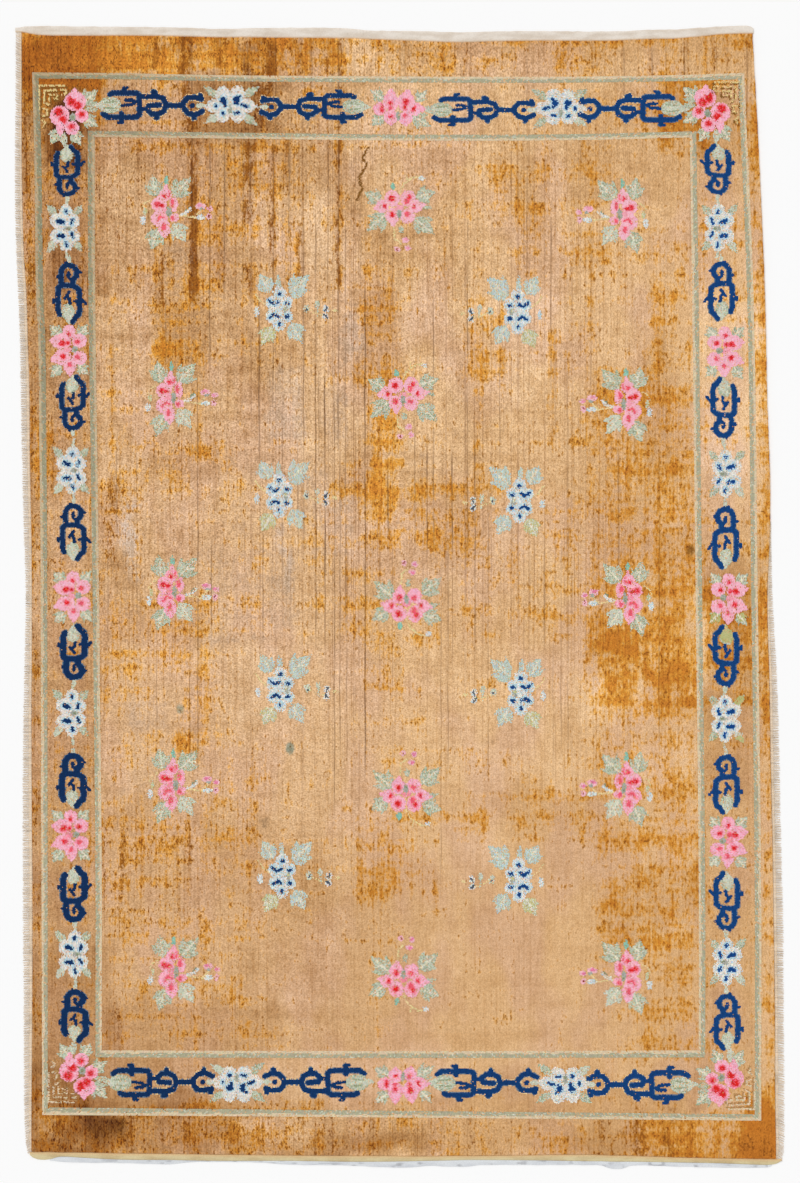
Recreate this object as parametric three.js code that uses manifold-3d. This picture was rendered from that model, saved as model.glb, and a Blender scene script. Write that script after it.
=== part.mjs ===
// A hand-knotted silk rug lying flat on the floor, in millimetres.
// +X runs across the rug, +Y along its length to the upper end, +Z up from the floor.
// The origin is on the floor in the middle of the rug.

import * as THREE from 'three';
import { mergeVertices } from 'three/addons/utils/BufferGeometryUtils.js';
import Module from 'manifold-3d';

const wasm = await Module();
wasm.setup();

// Thickness of the knotted cloth and of what edges it
const PILE_THICKNESS = 5;
const BAND_THICKNESS = 3;
const TAPE_THICKNESS = 1.4;
const FRINGE_HEAD_THICKNESS = 2.6;

// Every piece keeps this gap to its neighbour
const GAP = 0.3;

// The upper rim of the pile leans in, as cut pile does at an edge
const PILE_RIM_INSET = 2.5;
const RIM_HEIGHT_SHARE = 0.6;
const STRIP_RIM_INSET_SHARE = 0.2;

// Longest straight stretch of an outline, and the least distance between two of its corners
const OUTLINE_STEP = 60;
const OUTLINE_LEAST_STEP = 12;

// The fringe: a narrow woven head along the cloth, and the locks of warp ends that leave it
const LOCK_PITCH = 14.7;
const LOCK_ROOT = { width: 9.4, height: 2.2 };
const LOCK_TIP = { width: 6.6, height: 1.3 };
const LOCK_ROOT_DEPTH = 1.5;
const LOCK_LEAST_LENGTH = 3;
const LOCK_END_MARGIN = 13;
const LOCK_COMB = 5;
const LOCK_WANDER = { size: 1.6, pitch: 53 };
const LOCK_RAGGED = { size: 0.6, pitch: 31 };
const HEAD_WIDTH = 6;
const HEAD_LEAST_WIDTH = 2;
const HEAD_SHARE = 0.4;
const HALF_LENGTH = 1389;

// The tape never gets narrower than this
const TAPE_LEAST_WIDTH = 2;

function table(columns, rows) {
  return rows.map((row) => Object.fromEntries(columns.map((name, i) => [name, row[i]])));
}

// Upper end: the edge of the pile and the outer edge of the woven band, at places across the rug
const UPPER_END = table(
  ['x', 'pile', 'band'],
  [
    [-934, 1372, 1383],
    [-918, 1372, 1385],
    [-893, 1367, 1387],
    [-862, 1364, 1387],
    [-752, 1363, 1386],
    [-631, 1363, 1385],
    [-509, 1361, 1383],
    [-449, 1359, 1380],
    [-364, 1359, 1382],
    [-266, 1358, 1383],
    [-145, 1357, 1382],
    [-60, 1354, 1376],
    [49, 1350, 1375],
    [147, 1347, 1372],
    [220, 1349, 1374],
    [341, 1351, 1375],
    [511, 1351, 1374],
    [608, 1355, 1378],
    [669, 1356, 1379],
    [730, 1361, 1383],
    [778, 1366, 1386],
    [827, 1368, 1388],
    [851, 1368, 1387],
    [860, 1368, 1382],
  ],
);

// Lower end: the edge of the pile, of the woven band and of the pale tape behind it
const LOWER_END = table(
  ['x', 'pile', 'band', 'tape'],
  [
    [-899, -1348, -1355, -1357],
    [-891, -1348, -1362, -1364],
    [-874, -1348, -1367, -1369],
    [-850, -1348, -1366, -1369],
    [-825, -1349, -1360, -1372],
    [-777, -1349, -1362, -1374],
    [-680, -1351, -1367, -1375],
    [-558, -1352, -1368, -1378],
    [-509, -1353, -1369, -1373],
    [-449, -1354, -1370, -1372],
    [-339, -1355, -1370, -1374],
    [-266, -1356, -1370, -1379],
    [-133, -1357, -1372, -1381],
    [-48, -1357, -1372, -1385],
    [25, -1358, -1371, -1386],
    [69, -1358, -1370, -1382],
    [122, -1357, -1369, -1384],
    [161, -1357, -1368, -1384],
    [200, -1357, -1368, -1380],
    [341, -1355, -1369, -1380],
    [463, -1354, -1371, -1380],
    [489, -1355, -1371, -1381],
    [516, -1356, -1372, -1389],
    [540, -1356, -1372, -1389],
    [565, -1357, -1372, -1381],
    [681, -1361, -1374, -1384],
    [778, -1363, -1376, -1386],
    [890, -1365, -1380, -1386],
    [905, -1365, -1379, -1382],
    [915, -1365, -1377, -1379],
    [928, -1365, -1370, -1372],
  ],
);

// Left side: the edge of the pile and the tips of the fringe, at places along the rug
const LEFT_SIDE = table(
  ['y', 'pile', 'fringe'],
  [
    [-1347, -894, -904],
    [-1320, -894, -909],
    [-1247, -894, -913],
    [-979, -892, -915],
    [-688, -892, -917],
    [-323, -894, -916],
    [-134, -893, -912],
    [19, -893, -910],
    [146, -894, -914],
    [340, -898, -919],
    [498, -899, -922],
    [627, -903, -924],
    [729, -906, -928],
    [846, -913, -933],
    [1013, -917, -936],
    [1232, -918, -934],
    [1372, -918, -934],
  ],
);

// Right side: the upper half has lost its fringe, so there the two columns are alike
const RIGHT_SIDE = table(
  ['y', 'pile', 'fringe'],
  [
    [-1365, 914, 930],
    [-1332, 914, 935],
    [-1222, 912, 936],
    [-979, 911, 934],
    [-785, 908, 933],
    [-566, 905, 927],
    [-396, 901, 924],
    [-202, 898, 918],
    [-7, 893, 907],
    [138, 899, 903],
    [182, 900, 903],
    [284, 900, 900],
    [479, 893, 893],
    [722, 888, 888],
    [965, 878, 878],
    [1171, 868, 868],
    [1368, 857, 857],
  ],
);
const RIGHT_FRINGE_TOP = 182;
const TAPE_START = -850;
const TAPE_END = 905;

// A smooth curve through one column of a table
function curveThrough(rows, key, column) {
  const slope = (a, b) => (b[column] - a[column]) / (b[key] - a[key]);
  return (place) => {
    const last = rows.length - 2;
    const found = rows.findIndex((row, i) => i > 0 && place <= row[key]) - 1;
    const i = found < 0 ? last : Math.min(found, last);
    const start = rows[i];
    const end = rows[i + 1];
    const span = end[key] - start[key];
    const t = THREE.MathUtils.clamp((place - start[key]) / span, 0, 1);
    const leave = i > 0 ? slope(rows[i - 1], end) * span : end[column] - start[column];
    const arrive = i < last ? slope(start, rows[i + 2]) * span : end[column] - start[column];
    const drop = end[column] - start[column];
    return start[column] + t * leave
      + t * t * (3 * drop - 2 * leave - arrive)
      + t * t * t * (leave + arrive - 2 * drop);
  };
}

// Places along an edge: the rows of its table, with even steps between rows that lie far apart
function stations(rows, key, from, to) {
  const inner = rows
    .map((row) => row[key])
    .filter((place) => place > from + OUTLINE_LEAST_STEP && place < to - OUTLINE_LEAST_STEP);
  const places = [from, ...inner, to];
  const result = [from];
  for (let i = 1; i < places.length; i += 1) {
    const span = places[i] - places[i - 1];
    const steps = Math.max(1, Math.ceil(span / OUTLINE_STEP));
    for (let step = 1; step <= steps; step += 1) {
      result.push(places[i - 1] + (span * step) / steps);
    }
  }
  return result;
}

function meshGeometry(points, faces) {
  const geometry = new THREE.BufferGeometry();
  geometry.setAttribute('position', new THREE.Float32BufferAttribute(points.flat(), 3));
  geometry.setIndex(faces.flat());
  return geometry;
}

// Six times the volume that a closed surface holds, negative where it is inside out
function signedVolume(points, faces) {
  return faces.reduce((sum, [a, b, c]) => {
    const first = new THREE.Vector3(...points[a]);
    const second = new THREE.Vector3(...points[b]);
    return sum + first.dot(second.cross(new THREE.Vector3(...points[c])));
  }, 0);
}

function closedSurface(points, faces) {
  const outward = signedVolume(points, faces) > 0
    ? faces
    : faces.map(([a, b, c]) => [a, c, b]);
  return meshGeometry(points, outward);
}

// A skin over sections that follow one another, each a closed loop of the same count of points
function skinSections(sections) {
  const count = sections[0].length;
  const faces = [];
  for (let s = 0; s < sections.length - 1; s += 1) {
    for (let i = 0; i < count; i += 1) {
      const a = s * count + i;
      const b = s * count + ((i + 1) % count);
      faces.push([a, b, b + count], [a, b + count, a + count]);
    }
  }
  const end = (sections.length - 1) * count;
  for (let i = 1; i < count - 1; i += 1) {
    faces.push([0, i + 1, i], [end, end + i, end + i + 1]);
  }
  return closedSurface(sections.flat(), faces);
}

// One section across a strip from its inner edge to its outer edge, its upper rims eased
function stripSection(inner, outer, thickness) {
  const across = new THREE.Vector2(outer[0] - inner[0], outer[1] - inner[1]);
  const inset = across.clone().multiplyScalar(STRIP_RIM_INSET_SHARE);
  const shoulder = thickness * RIM_HEIGHT_SHARE;
  return [
    [inner[0], inner[1], 0],
    [outer[0], outer[1], 0],
    [outer[0], outer[1], shoulder],
    [outer[0] - inset.x, outer[1] - inset.y, thickness],
    [inner[0] + inset.x, inner[1] + inset.y, thickness],
    [inner[0], inner[1], shoulder],
  ];
}

const upperPile = curveThrough(UPPER_END, 'x', 'pile');
const upperBand = curveThrough(UPPER_END, 'x', 'band');
const lowerPile = curveThrough(LOWER_END, 'x', 'pile');
const lowerBand = curveThrough(LOWER_END, 'x', 'band');
const lowerTape = curveThrough(LOWER_END, 'x', 'tape');
const leftPile = curveThrough(LEFT_SIDE, 'y', 'pile');
const leftTips = curveThrough(LEFT_SIDE, 'y', 'fringe');
const rightPile = curveThrough(RIGHT_SIDE, 'y', 'pile');
const rightTips = curveThrough(RIGHT_SIDE, 'y', 'fringe');

// The four corners of the pile, where its edges meet
const LOWER_LEFT = { x: LEFT_SIDE[0].pile, y: LOWER_END[0].pile };
const LOWER_RIGHT = { x: RIGHT_SIDE[0].pile, y: LOWER_END.at(-1).pile };
const UPPER_RIGHT = { x: RIGHT_SIDE.at(-1).pile, y: UPPER_END.at(-1).pile };
const UPPER_LEFT = { x: LEFT_SIDE.at(-1).pile, y: UPPER_END[0].pile };

// The outline of the pile, anticlockwise from its lower left corner
function pileOutline() {
  const lower = stations(LOWER_END, 'x', LOWER_LEFT.x, LOWER_RIGHT.x);
  const right = stations(RIGHT_SIDE, 'y', LOWER_RIGHT.y, UPPER_RIGHT.y);
  const upper = stations(UPPER_END, 'x', UPPER_LEFT.x, UPPER_RIGHT.x).reverse();
  const left = stations(LEFT_SIDE, 'y', LOWER_LEFT.y, UPPER_LEFT.y).reverse();
  return [
    ...lower.slice(0, -1).map((x) => new THREE.Vector2(x, lowerPile(x))),
    ...right.slice(0, -1).map((y) => new THREE.Vector2(rightPile(y), y)),
    ...upper.slice(0, -1).map((x) => new THREE.Vector2(x, upperPile(x))),
    ...left.slice(0, -1).map((y) => new THREE.Vector2(leftPile(y), y)),
  ];
}

// The outline drawn in by a distance, each point along the middle of its two edges' normals
function drawnIn(outline, distance) {
  return outline.map((point, i) => {
    const before = outline[(i + outline.length - 1) % outline.length];
    const after = outline[(i + 1) % outline.length];
    const arriving = point.clone().sub(before).normalize();
    const leaving = after.clone().sub(point).normalize();
    const normal = new THREE.Vector2(-arriving.y - leaving.y, arriving.x + leaving.x);
    const share = 2 / normal.lengthSq();
    return point.clone().addScaledVector(normal, distance * share);
  });
}

// The knotted cloth: one flat sheet with the rug's outline
function pileGeometry() {
  const outline = pileOutline();
  const crown = drawnIn(outline, PILE_RIM_INSET);
  const shoulder = PILE_THICKNESS * RIM_HEIGHT_SHARE;
  const rings = [
    outline.map((p) => [p.x, p.y, 0]),
    outline.map((p) => [p.x, p.y, shoulder]),
    crown.map((p) => [p.x, p.y, PILE_THICKNESS]),
  ];
  const count = outline.length;
  const faces = [];
  for (let ring = 0; ring < rings.length - 1; ring += 1) {
    for (let i = 0; i < count; i += 1) {
      const a = ring * count + i;
      const b = ring * count + ((i + 1) % count);
      faces.push([a, b, b + count], [a, b + count, a + count]);
    }
  }
  const top = (rings.length - 1) * count;
  THREE.ShapeUtils.triangulateShape(outline, []).forEach(([a, b, c]) => faces.push([a, c, b]));
  THREE.ShapeUtils.triangulateShape(crown, []).forEach((face) => {
    faces.push(face.map((i) => i + top));
  });
  return closedSurface(rings.flat(), faces);
}

// The woven band along the upper end
function upperBandGeometry() {
  const from = UPPER_END[0].x;
  const to = UPPER_END.at(-1).x;
  return skinSections(stations(UPPER_END, 'x', from, to).map((x) => (
    stripSection([x, upperPile(x) + GAP], [x, upperBand(x)], BAND_THICKNESS)
  )));
}

// The woven band along the lower end, round at both corners
function lowerBandGeometry() {
  const from = LOWER_END[0].x;
  const to = LOWER_END.at(-1).x;
  return skinSections(stations(LOWER_END, 'x', from, to).map((x) => (
    stripSection([x, lowerPile(x) - GAP], [x, lowerBand(x)], BAND_THICKNESS)
  )));
}

// The pale tape that shows past the lower band, wavy along its free edge
function lowerTapeGeometry() {
  return skinSections(stations(LOWER_END, 'x', TAPE_START, TAPE_END).map((x) => {
    const inner = lowerBand(x) - GAP;
    const outer = Math.min(lowerTape(x), inner - TAPE_LEAST_WIDTH);
    return stripSection([x, inner], [x, outer], TAPE_THICKNESS);
  }));
}

// A lock of warp ends: four tapered sides, level on the floor from root to tip
function lockGeometry(root, tip) {
  const ends = [[root, LOCK_ROOT], [tip, LOCK_TIP]];
  return skinSections(ends.map(([[x, y], { width, height }]) => [
    [x, y - width / 2, 0],
    [x, y + width / 2, 0],
    [x, y + width / 2, height],
    [x, y - width / 2, height],
  ]));
}

function toManifold(geometry) {
  const merged = mergeVertices(geometry);
  return new wasm.Manifold(new wasm.Mesh({
    numProp: 3,
    vertProperties: new Float32Array(merged.attributes.position.array),
    triVerts: new Uint32Array(merged.index.array),
  }));
}

function fromManifold(solid) {
  const mesh = solid.getMesh();
  const geometry = new THREE.BufferGeometry();
  geometry.setAttribute('position', new THREE.Float32BufferAttribute(mesh.vertProperties, 3));
  geometry.setIndex(Array.from(mesh.triVerts));
  return geometry;
}

// The head's outer edge, a share of the way from the cloth to the tips where the fringe is short
function headEdge(inner, tips) {
  const share = Math.abs(tips - inner) * HEAD_SHARE;
  const width = THREE.MathUtils.clamp(share, HEAD_LEAST_WIDTH, HEAD_WIDTH);
  return inner + Math.sign(tips - inner) * width;
}

// One side's fringe: its head beside the cloth, and a row of locks fused to the head by their roots
function fringeGeometry(rows, pile, tips, from, to) {
  const outward = Math.sign(tips(from) - pile(from));
  const innerEdge = (y) => pile(y) + outward * GAP;
  const head = skinSections(stations(rows, 'y', from, to).map((y) => (
    stripSection([innerEdge(y), y], [headEdge(innerEdge(y), tips(y)), y], FRINGE_HEAD_THICKNESS)
  )));
  const locks = [];
  for (let y = from + LOCK_END_MARGIN; y < to - LOCK_END_MARGIN; y += LOCK_PITCH) {
    const edge = headEdge(innerEdge(y), tips(y));
    const ragged = LOCK_RAGGED.size * (1 - Math.cos(y / LOCK_RAGGED.pitch));
    const tipX = tips(y) - outward * ragged;
    const comb = LOCK_COMB * (y / HALF_LENGTH) ** 3;
    const tipY = y + comb + LOCK_WANDER.size * Math.sin(y / LOCK_WANDER.pitch);
    if (Math.abs(tipX - edge) >= LOCK_LEAST_LENGTH) {
      locks.push(toManifold(lockGeometry([edge - outward * LOCK_ROOT_DEPTH, y], [tipX, tipY])));
    }
  }
  return fromManifold(wasm.Manifold.union([toManifold(head), ...locks]));
}

function cloth(color, roughness) {
  return new THREE.MeshStandardMaterial({ color, roughness, metalness: 0 });
}

function piece(name, geometry, material) {
  const mesh = new THREE.Mesh(geometry, material);
  mesh.name = name;
  return mesh;
}

const rug = new THREE.Group();
rug.add(
  piece('silk_pile', pileGeometry(), cloth(0xd2a468, 0.55)),
  piece('upper_band', upperBandGeometry(), cloth(0xe2d3bd, 0.85)),
  piece('lower_band', lowerBandGeometry(), cloth(0xdcc8a4, 0.85)),
  piece('lower_tape', lowerTapeGeometry(), cloth(0xdedede, 0.8)),
  piece(
    'left_fringe',
    fringeGeometry(LEFT_SIDE, leftPile, leftTips, LEFT_SIDE[0].y + GAP, LEFT_SIDE.at(-1).y - GAP),
    cloth(0xe4d6c0, 0.9),
  ),
  piece(
    'right_fringe',
    fringeGeometry(RIGHT_SIDE, rightPile, rightTips, RIGHT_SIDE[0].y + GAP, RIGHT_FRINGE_TOP),
    cloth(0xe4d4b4, 0.9),
  ),
);

// The middle of the rug's own box goes over the origin
const middle = new THREE.Box3().setFromObject(rug).getCenter(new THREE.Vector3());
rug.position.set(-middle.x, -middle.y, 0);

const part = new THREE.Group();
part.add(rug);

export default part;
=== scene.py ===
import math
from contextlib import contextmanager

import bpy
import numpy as np
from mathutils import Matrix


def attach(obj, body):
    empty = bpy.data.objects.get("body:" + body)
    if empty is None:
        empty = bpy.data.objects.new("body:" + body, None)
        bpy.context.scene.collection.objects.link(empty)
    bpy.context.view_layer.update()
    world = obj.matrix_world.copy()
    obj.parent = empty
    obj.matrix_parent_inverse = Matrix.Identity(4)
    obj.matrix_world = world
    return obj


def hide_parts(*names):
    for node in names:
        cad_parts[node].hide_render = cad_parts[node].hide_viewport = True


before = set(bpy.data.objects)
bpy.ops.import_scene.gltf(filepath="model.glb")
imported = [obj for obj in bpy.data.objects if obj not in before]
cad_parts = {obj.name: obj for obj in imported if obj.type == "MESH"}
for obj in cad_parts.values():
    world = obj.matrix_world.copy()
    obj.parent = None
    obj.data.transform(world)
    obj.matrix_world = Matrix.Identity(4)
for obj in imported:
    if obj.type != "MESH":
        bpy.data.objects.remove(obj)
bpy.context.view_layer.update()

# A hand-knotted silk rug lying flat, worn and stained, with woven end bands and side fringes.
# Tables of the rug's edges are in millimetres in the row frame.
# The pattern is charted in knots, counted right and down from the upper left of the chart.

MM = 0.001
KNOT = 0.00243
CHART_MIDDLE = (399.65, 596.95)

CLOTH_THICKNESS = 0.005
RIM_DROP = 0.0018
PATTERN_RELIEF = 0.00045
PATTERN_ROOT = 0.0006
KNOT_UNEVENNESS = 0.00016

# Upper end: place across the rug, edge of the pile, outer edge of the woven band
UPPER_END = [
    (-934, 1372, 1383), (-918, 1372, 1385), (-893, 1367, 1387), (-862, 1364, 1387),
    (-752, 1363, 1386), (-631, 1363, 1385), (-509, 1361, 1383), (-449, 1359, 1380),
    (-364, 1359, 1382), (-266, 1358, 1383), (-145, 1357, 1382), (-60, 1354, 1376),
    (49, 1350, 1375), (147, 1347, 1372), (220, 1349, 1374), (341, 1351, 1375),
    (511, 1351, 1374), (608, 1355, 1378), (669, 1356, 1379), (730, 1361, 1383),
    (778, 1366, 1386), (827, 1368, 1388), (851, 1368, 1387), (860, 1368, 1382),
]

# Lower end: place across the rug, edge of the pile, of the woven band and of the pale tape
LOWER_END = [
    (-899, -1348, -1355, -1357), (-891, -1348, -1362, -1364), (-874, -1348, -1367, -1369),
    (-850, -1348, -1366, -1369), (-825, -1349, -1360, -1372), (-777, -1349, -1362, -1374),
    (-680, -1351, -1367, -1375), (-558, -1352, -1368, -1378), (-509, -1353, -1369, -1373),
    (-449, -1354, -1370, -1372), (-339, -1355, -1370, -1374), (-266, -1356, -1370, -1379),
    (-133, -1357, -1372, -1381), (-48, -1357, -1372, -1385), (25, -1358, -1371, -1386),
    (69, -1358, -1370, -1382), (122, -1357, -1369, -1384), (161, -1357, -1368, -1384),
    (200, -1357, -1368, -1380), (341, -1355, -1369, -1380), (463, -1354, -1371, -1380),
    (489, -1355, -1371, -1381), (516, -1356, -1372, -1389), (540, -1356, -1372, -1389),
    (565, -1357, -1372, -1381), (681, -1361, -1374, -1384), (778, -1363, -1376, -1386),
    (890, -1365, -1380, -1386), (905, -1365, -1379, -1382), (915, -1365, -1377, -1379),
    (928, -1365, -1370, -1372),
]

# Left side: place along the rug, edge of the pile, tips of the fringe
LEFT_SIDE = [
    (-1347, -894, -904), (-1320, -894, -909), (-1247, -894, -913), (-979, -892, -915),
    (-688, -892, -917), (-323, -894, -916), (-134, -893, -912), (19, -893, -910),
    (146, -894, -914), (340, -898, -919), (498, -899, -922), (627, -903, -924),
    (729, -906, -928), (846, -913, -933), (1013, -917, -936), (1232, -918, -934),
    (1372, -918, -934),
]

# Right side: the same, its upper half without a fringe
RIGHT_SIDE = [
    (-1365, 914, 930), (-1332, 914, 935), (-1222, 912, 936), (-979, 911, 934),
    (-785, 908, 933), (-566, 905, 927), (-396, 901, 924), (-202, 898, 918),
    (-7, 893, 907), (138, 899, 903), (182, 900, 903), (284, 900, 900),
    (479, 893, 893), (722, 888, 888), (965, 878, 878), (1171, 868, 868),
    (1368, 857, 857),
]
RIGHT_FRINGE_TOP = 182
TAPE_START = -850
TAPE_END = 905

# Outer guard frame, in knots: place along a side, outer edge, inner edge
OUTER_GUARD = {
    "top": [(32.4, 72.7, 79.0), (110, 73.4, 79.4), (230, 75.6, 81.6), (400, 76.8, 82.8),
            (560, 77.0, 83.0), (670, 75.6, 81.6), (744, 73.2, 79.4)],
    "bottom": [(42.5, 1114.6, 1107), (250, 1116, 1109), (500, 1118, 1111.4),
               (761, 1120.3, 1114)],
    "left": [(72.7, 32.4, 38.5), (150, 34.4, 41.4), (297, 36.4, 43.6), (339, 38.6, 45.6),
             (436, 39.5, 46.5), (537, 40.7, 47.3), (730, 41.2, 47.7), (1114.6, 42.5, 48)],
    "right": [(72.4, 744, 737.6), (300, 753.4, 747), (600, 757.6, 751.2), (900, 761, 754.6),
              (1120.3, 761, 754.6)],
}

# Inner guard frame, in knots
INNER_GUARD = {
    "top": [(88, 131, 137.2), (240, 133, 139), (400, 134.8, 140.8), (560, 134.6, 140.6),
            (696, 131.6, 137.6)],
    "bottom": [(95.7, 1057, 1050), (400, 1057.6, 1050.8), (705, 1057, 1050)],
    "left": [(131, 88, 94.9), (295, 88.6, 95.4), (500, 91.6, 98.2), (700, 94, 100.4),
             (880, 95.7, 102), (1057, 95.7, 102)],
    "right": [(131, 696, 689.5), (300, 698.5, 692), (600, 702, 695.5), (880, 705, 698.5),
              (1057, 705, 698.5)],
}

# Dyed silk and cotton, as red, green and blue of 255
DYES = {
    "navy": (0, 54, 106),
    "ink": (2, 58, 116),
    "halo": (232, 196, 142),
    "rose_rim": (246, 170, 188),
    "rose": (240, 132, 150),
    "deep_rose": (232, 92, 108),
    "red": (214, 34, 30),
    "petal_white": (218, 211, 199),
    "petal_blue": (176, 204, 216),
    "faded_white": (210, 213, 208),
    "leaf": (184, 190, 168),
    "leaf_pale": (202, 204, 184),
    "leaf_blue": (192, 202, 190),
    "leaf_yellow": (196, 188, 134),
    "teal": (140, 188, 168),
    "moss": (138, 146, 116),
    "grey": (164, 166, 154),
    "stem": (226, 202, 148),
    "bud": (222, 112, 150),
    "bud_pale": (236, 178, 186),
    "wine": (150, 60, 60),
    "slate": (74, 84, 96),
    "curl_gold": (222, 196, 134),
    "green_gold": (178, 172, 72),
    "guard_cream": (217, 197, 164),
    "guard_green": (173, 168, 140),
    "tan": (214, 170, 122),
    "faded_tan": (176, 132, 84),
    "lilac": (240, 184, 210),
    "pale_pink": (242, 194, 200),
    "bark": (132, 88, 34),
    "pale_navy": (98, 118, 138),
    "leaf_dark": (152, 160, 128),
    "pearl": (232, 226, 218),
    "vein": (222, 214, 190),
}
DYE_NAMES = list(DYES)
BARE = -1

# Dyes whose knots are mixed with another: dye, the other, its share
MIXED_DYES = [
    ("leaf", "leaf_pale", 0.24), ("leaf", "leaf_dark", 0.20), ("leaf", "tan", 0.10),
    ("leaf_pale", "tan", 0.10), ("leaf_pale", "leaf", 0.22), ("leaf_blue", "petal_blue", 0.14),
    ("leaf_blue", "leaf", 0.16), ("leaf_blue", "tan", 0.08), ("leaf_yellow", "leaf_pale", 0.40),
    ("rose_rim", "lilac", 0.20), ("rose_rim", "rose", 0.10), ("rose", "rose_rim", 0.14),
    ("petal_white", "petal_blue", 0.14), ("petal_white", "pearl", 0.26), ("petal_white", "tan", 0.06),
    ("faded_white", "petal_blue", 0.20), ("faded_white", "pearl", 0.24), ("faded_white", "tan", 0.08),
    ("red", "deep_rose", 0.16), ("guard_green", "tan", 0.08), ("guard_cream", "tan", 0.07),
]

# How strong the navy is from left to right, where light and wear have changed it: place, share
NAVY_BY_PLACE = [(60, 0.62), (160, 0.66), (400, 0.95), (640, 1.2), (740, 1.3)]

FADING_PINKS = ("rose_rim", "lilac", "rose", "bud", "bud_pale")

# Leaves that have turned yellow-green in the right border, in knots: across, down, reach
YELLOWED_LEAVES = [
    (713, 622, 9), (728, 634, 9), (742, 617, 5), (725, 721, 6), (738, 700, 7), (739, 743, 7),
    (718, 743, 6),
]
YELLOWED_DYES = ("leaf", "leaf_pale", "leaf_dark", "leaf_blue", "slate")
YELLOWED_SHARE = 0.65

# White flowers with part of their dark blue marks lost: place across, place down, share lost
LOST_MARKS = {(280, 303): 0.16, (280, 489.5): 0.14, (71, 469.6): 0.16, (727, 473): 0.12}

rng = np.random.default_rng(1913)


def linear(red, green, blue):
    """A colour of 255 as Blender's linear one, with full alpha."""
    parts = np.array([red, green, blue], float) / 255
    low = parts / 12.92
    high = ((parts + 0.055) / 1.055) ** 2.4
    return (*np.where(parts <= 0.04045, low, high), 1.0)


def curve_through(rows, column):
    """A smooth curve through one column of a table, over its first column."""
    places = np.array([row[0] for row in rows], float)
    values = np.array([row[column] for row in rows], float)
    slopes = np.gradient(values, places)
    slopes[1:-1] = (values[2:] - values[:-2]) / (places[2:] - places[:-2])

    def at(place):
        place = np.asarray(place, float)
        i = np.clip(np.searchsorted(places, place) - 1, 0, len(rows) - 2)
        span = places[i + 1] - places[i]
        t = np.clip((place - places[i]) / span, 0, 1)
        drop = values[i + 1] - values[i]
        leave = slopes[i] * span
        arrive = slopes[i + 1] * span
        steep = t * t * (3 * drop - 2 * leave - arrive)
        return values[i] + t * leave + steep + t ** 3 * (leave + arrive - 2 * drop)

    return at


upper_pile = curve_through(UPPER_END, 1)
upper_band_edge = curve_through(UPPER_END, 2)
lower_pile = curve_through(LOWER_END, 1)
lower_band_edge = curve_through(LOWER_END, 2)
lower_tape_edge = curve_through(LOWER_END, 3)
left_pile = curve_through(LEFT_SIDE, 1)
left_tips = curve_through(LEFT_SIDE, 2)
right_pile = curve_through(RIGHT_SIDE, 1)
right_tips = curve_through(RIGHT_SIDE, 2)


def smooth_noise(x, y, size, seed):
    """Soft noise from 0 to 1 over a plane, its lumps about size across."""
    lattice = np.random.default_rng(seed).random((97, 97))
    u, v = np.asarray(x) / size + 40.0, np.asarray(y) / size + 40.0
    i, j = np.floor(u).astype(int), np.floor(v).astype(int)
    s, t = u - i, v - j
    s, t = s * s * (3 - 2 * s), t * t * (3 - 2 * t)
    i, j = i % 96, j % 96
    low = lattice[i, j] * (1 - s) + lattice[i + 1, j] * s
    high = lattice[i, j + 1] * (1 - s) + lattice[i + 1, j + 1] * s
    return low * (1 - t) + high * t


def cloth_height(x, y):
    """Height of the pile over the floor: level, with slow low waves. Metres in and out."""
    wave = 0.00022 * np.sin(2.6 * x + 1.1 * y + 0.7) + 0.00018 * np.sin(3.9 * y - 1.7 * x)
    return CLOTH_THICKNESS + wave


def chart_to_frame(x, y):
    """A place on the chart, in knots, as metres in the row frame."""
    return (x - CHART_MIDDLE[0]) * KNOT, (CHART_MIDDLE[1] - y) * KNOT


# Mesh helpers


def add_grid(name, columns, rows):
    """A flat grid of that many faces, one unit square, alone selected."""
    bpy.ops.object.select_all(action="DESELECT")
    bpy.ops.mesh.primitive_grid_add(x_subdivisions=columns, y_subdivisions=rows, size=1)
    return named(name)


def read_places(items, field):
    """One place for each vertex or face of a mesh."""
    places = np.empty(len(items) * 3, np.float32)
    items.foreach_get(field, places)
    return places.reshape(-1, 3).astype(float)


def corners_of(piece):
    return read_places(piece.data.vertices, "co")


def move_corners(piece, places):
    piece.data.vertices.foreach_set("co", np.asarray(places, np.float32).ravel())
    piece.data.update()


def face_centres(piece):
    return read_places(piece.data.polygons, "center")


def loop_corners(piece):
    """For each face corner, the index of its vertex."""
    loops = np.empty(len(piece.data.loops), np.int32)
    piece.data.loops.foreach_get("vertex_index", loops)
    return loops


def select_alone(piece):
    bpy.ops.object.select_all(action="DESELECT")
    piece.select_set(True)
    bpy.context.view_layer.objects.active = piece


@contextmanager
def editing(piece, kind="EDGE"):
    """Edit mode on this piece alone, with nothing selected at first."""
    select_alone(piece)
    bpy.ops.object.mode_set(mode="EDIT")
    bpy.ops.mesh.select_mode(type=kind)
    bpy.ops.mesh.select_all(action="DESELECT")
    yield
    bpy.ops.object.mode_set(mode="OBJECT")


def delete_faces(piece, chosen):
    with editing(piece, "FACE"):
        pass
    piece.data.polygons.foreach_set("select", np.asarray(chosen, bool))
    bpy.ops.object.mode_set(mode="EDIT")
    bpy.ops.mesh.delete(type="FACE")
    bpy.ops.object.mode_set(mode="OBJECT")


def select_open_edges():
    bpy.ops.mesh.select_non_manifold(
        extend=False, use_wire=False, use_boundary=True,
        use_multi_face=False, use_non_contiguous=False, use_verts=False,
    )


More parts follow.
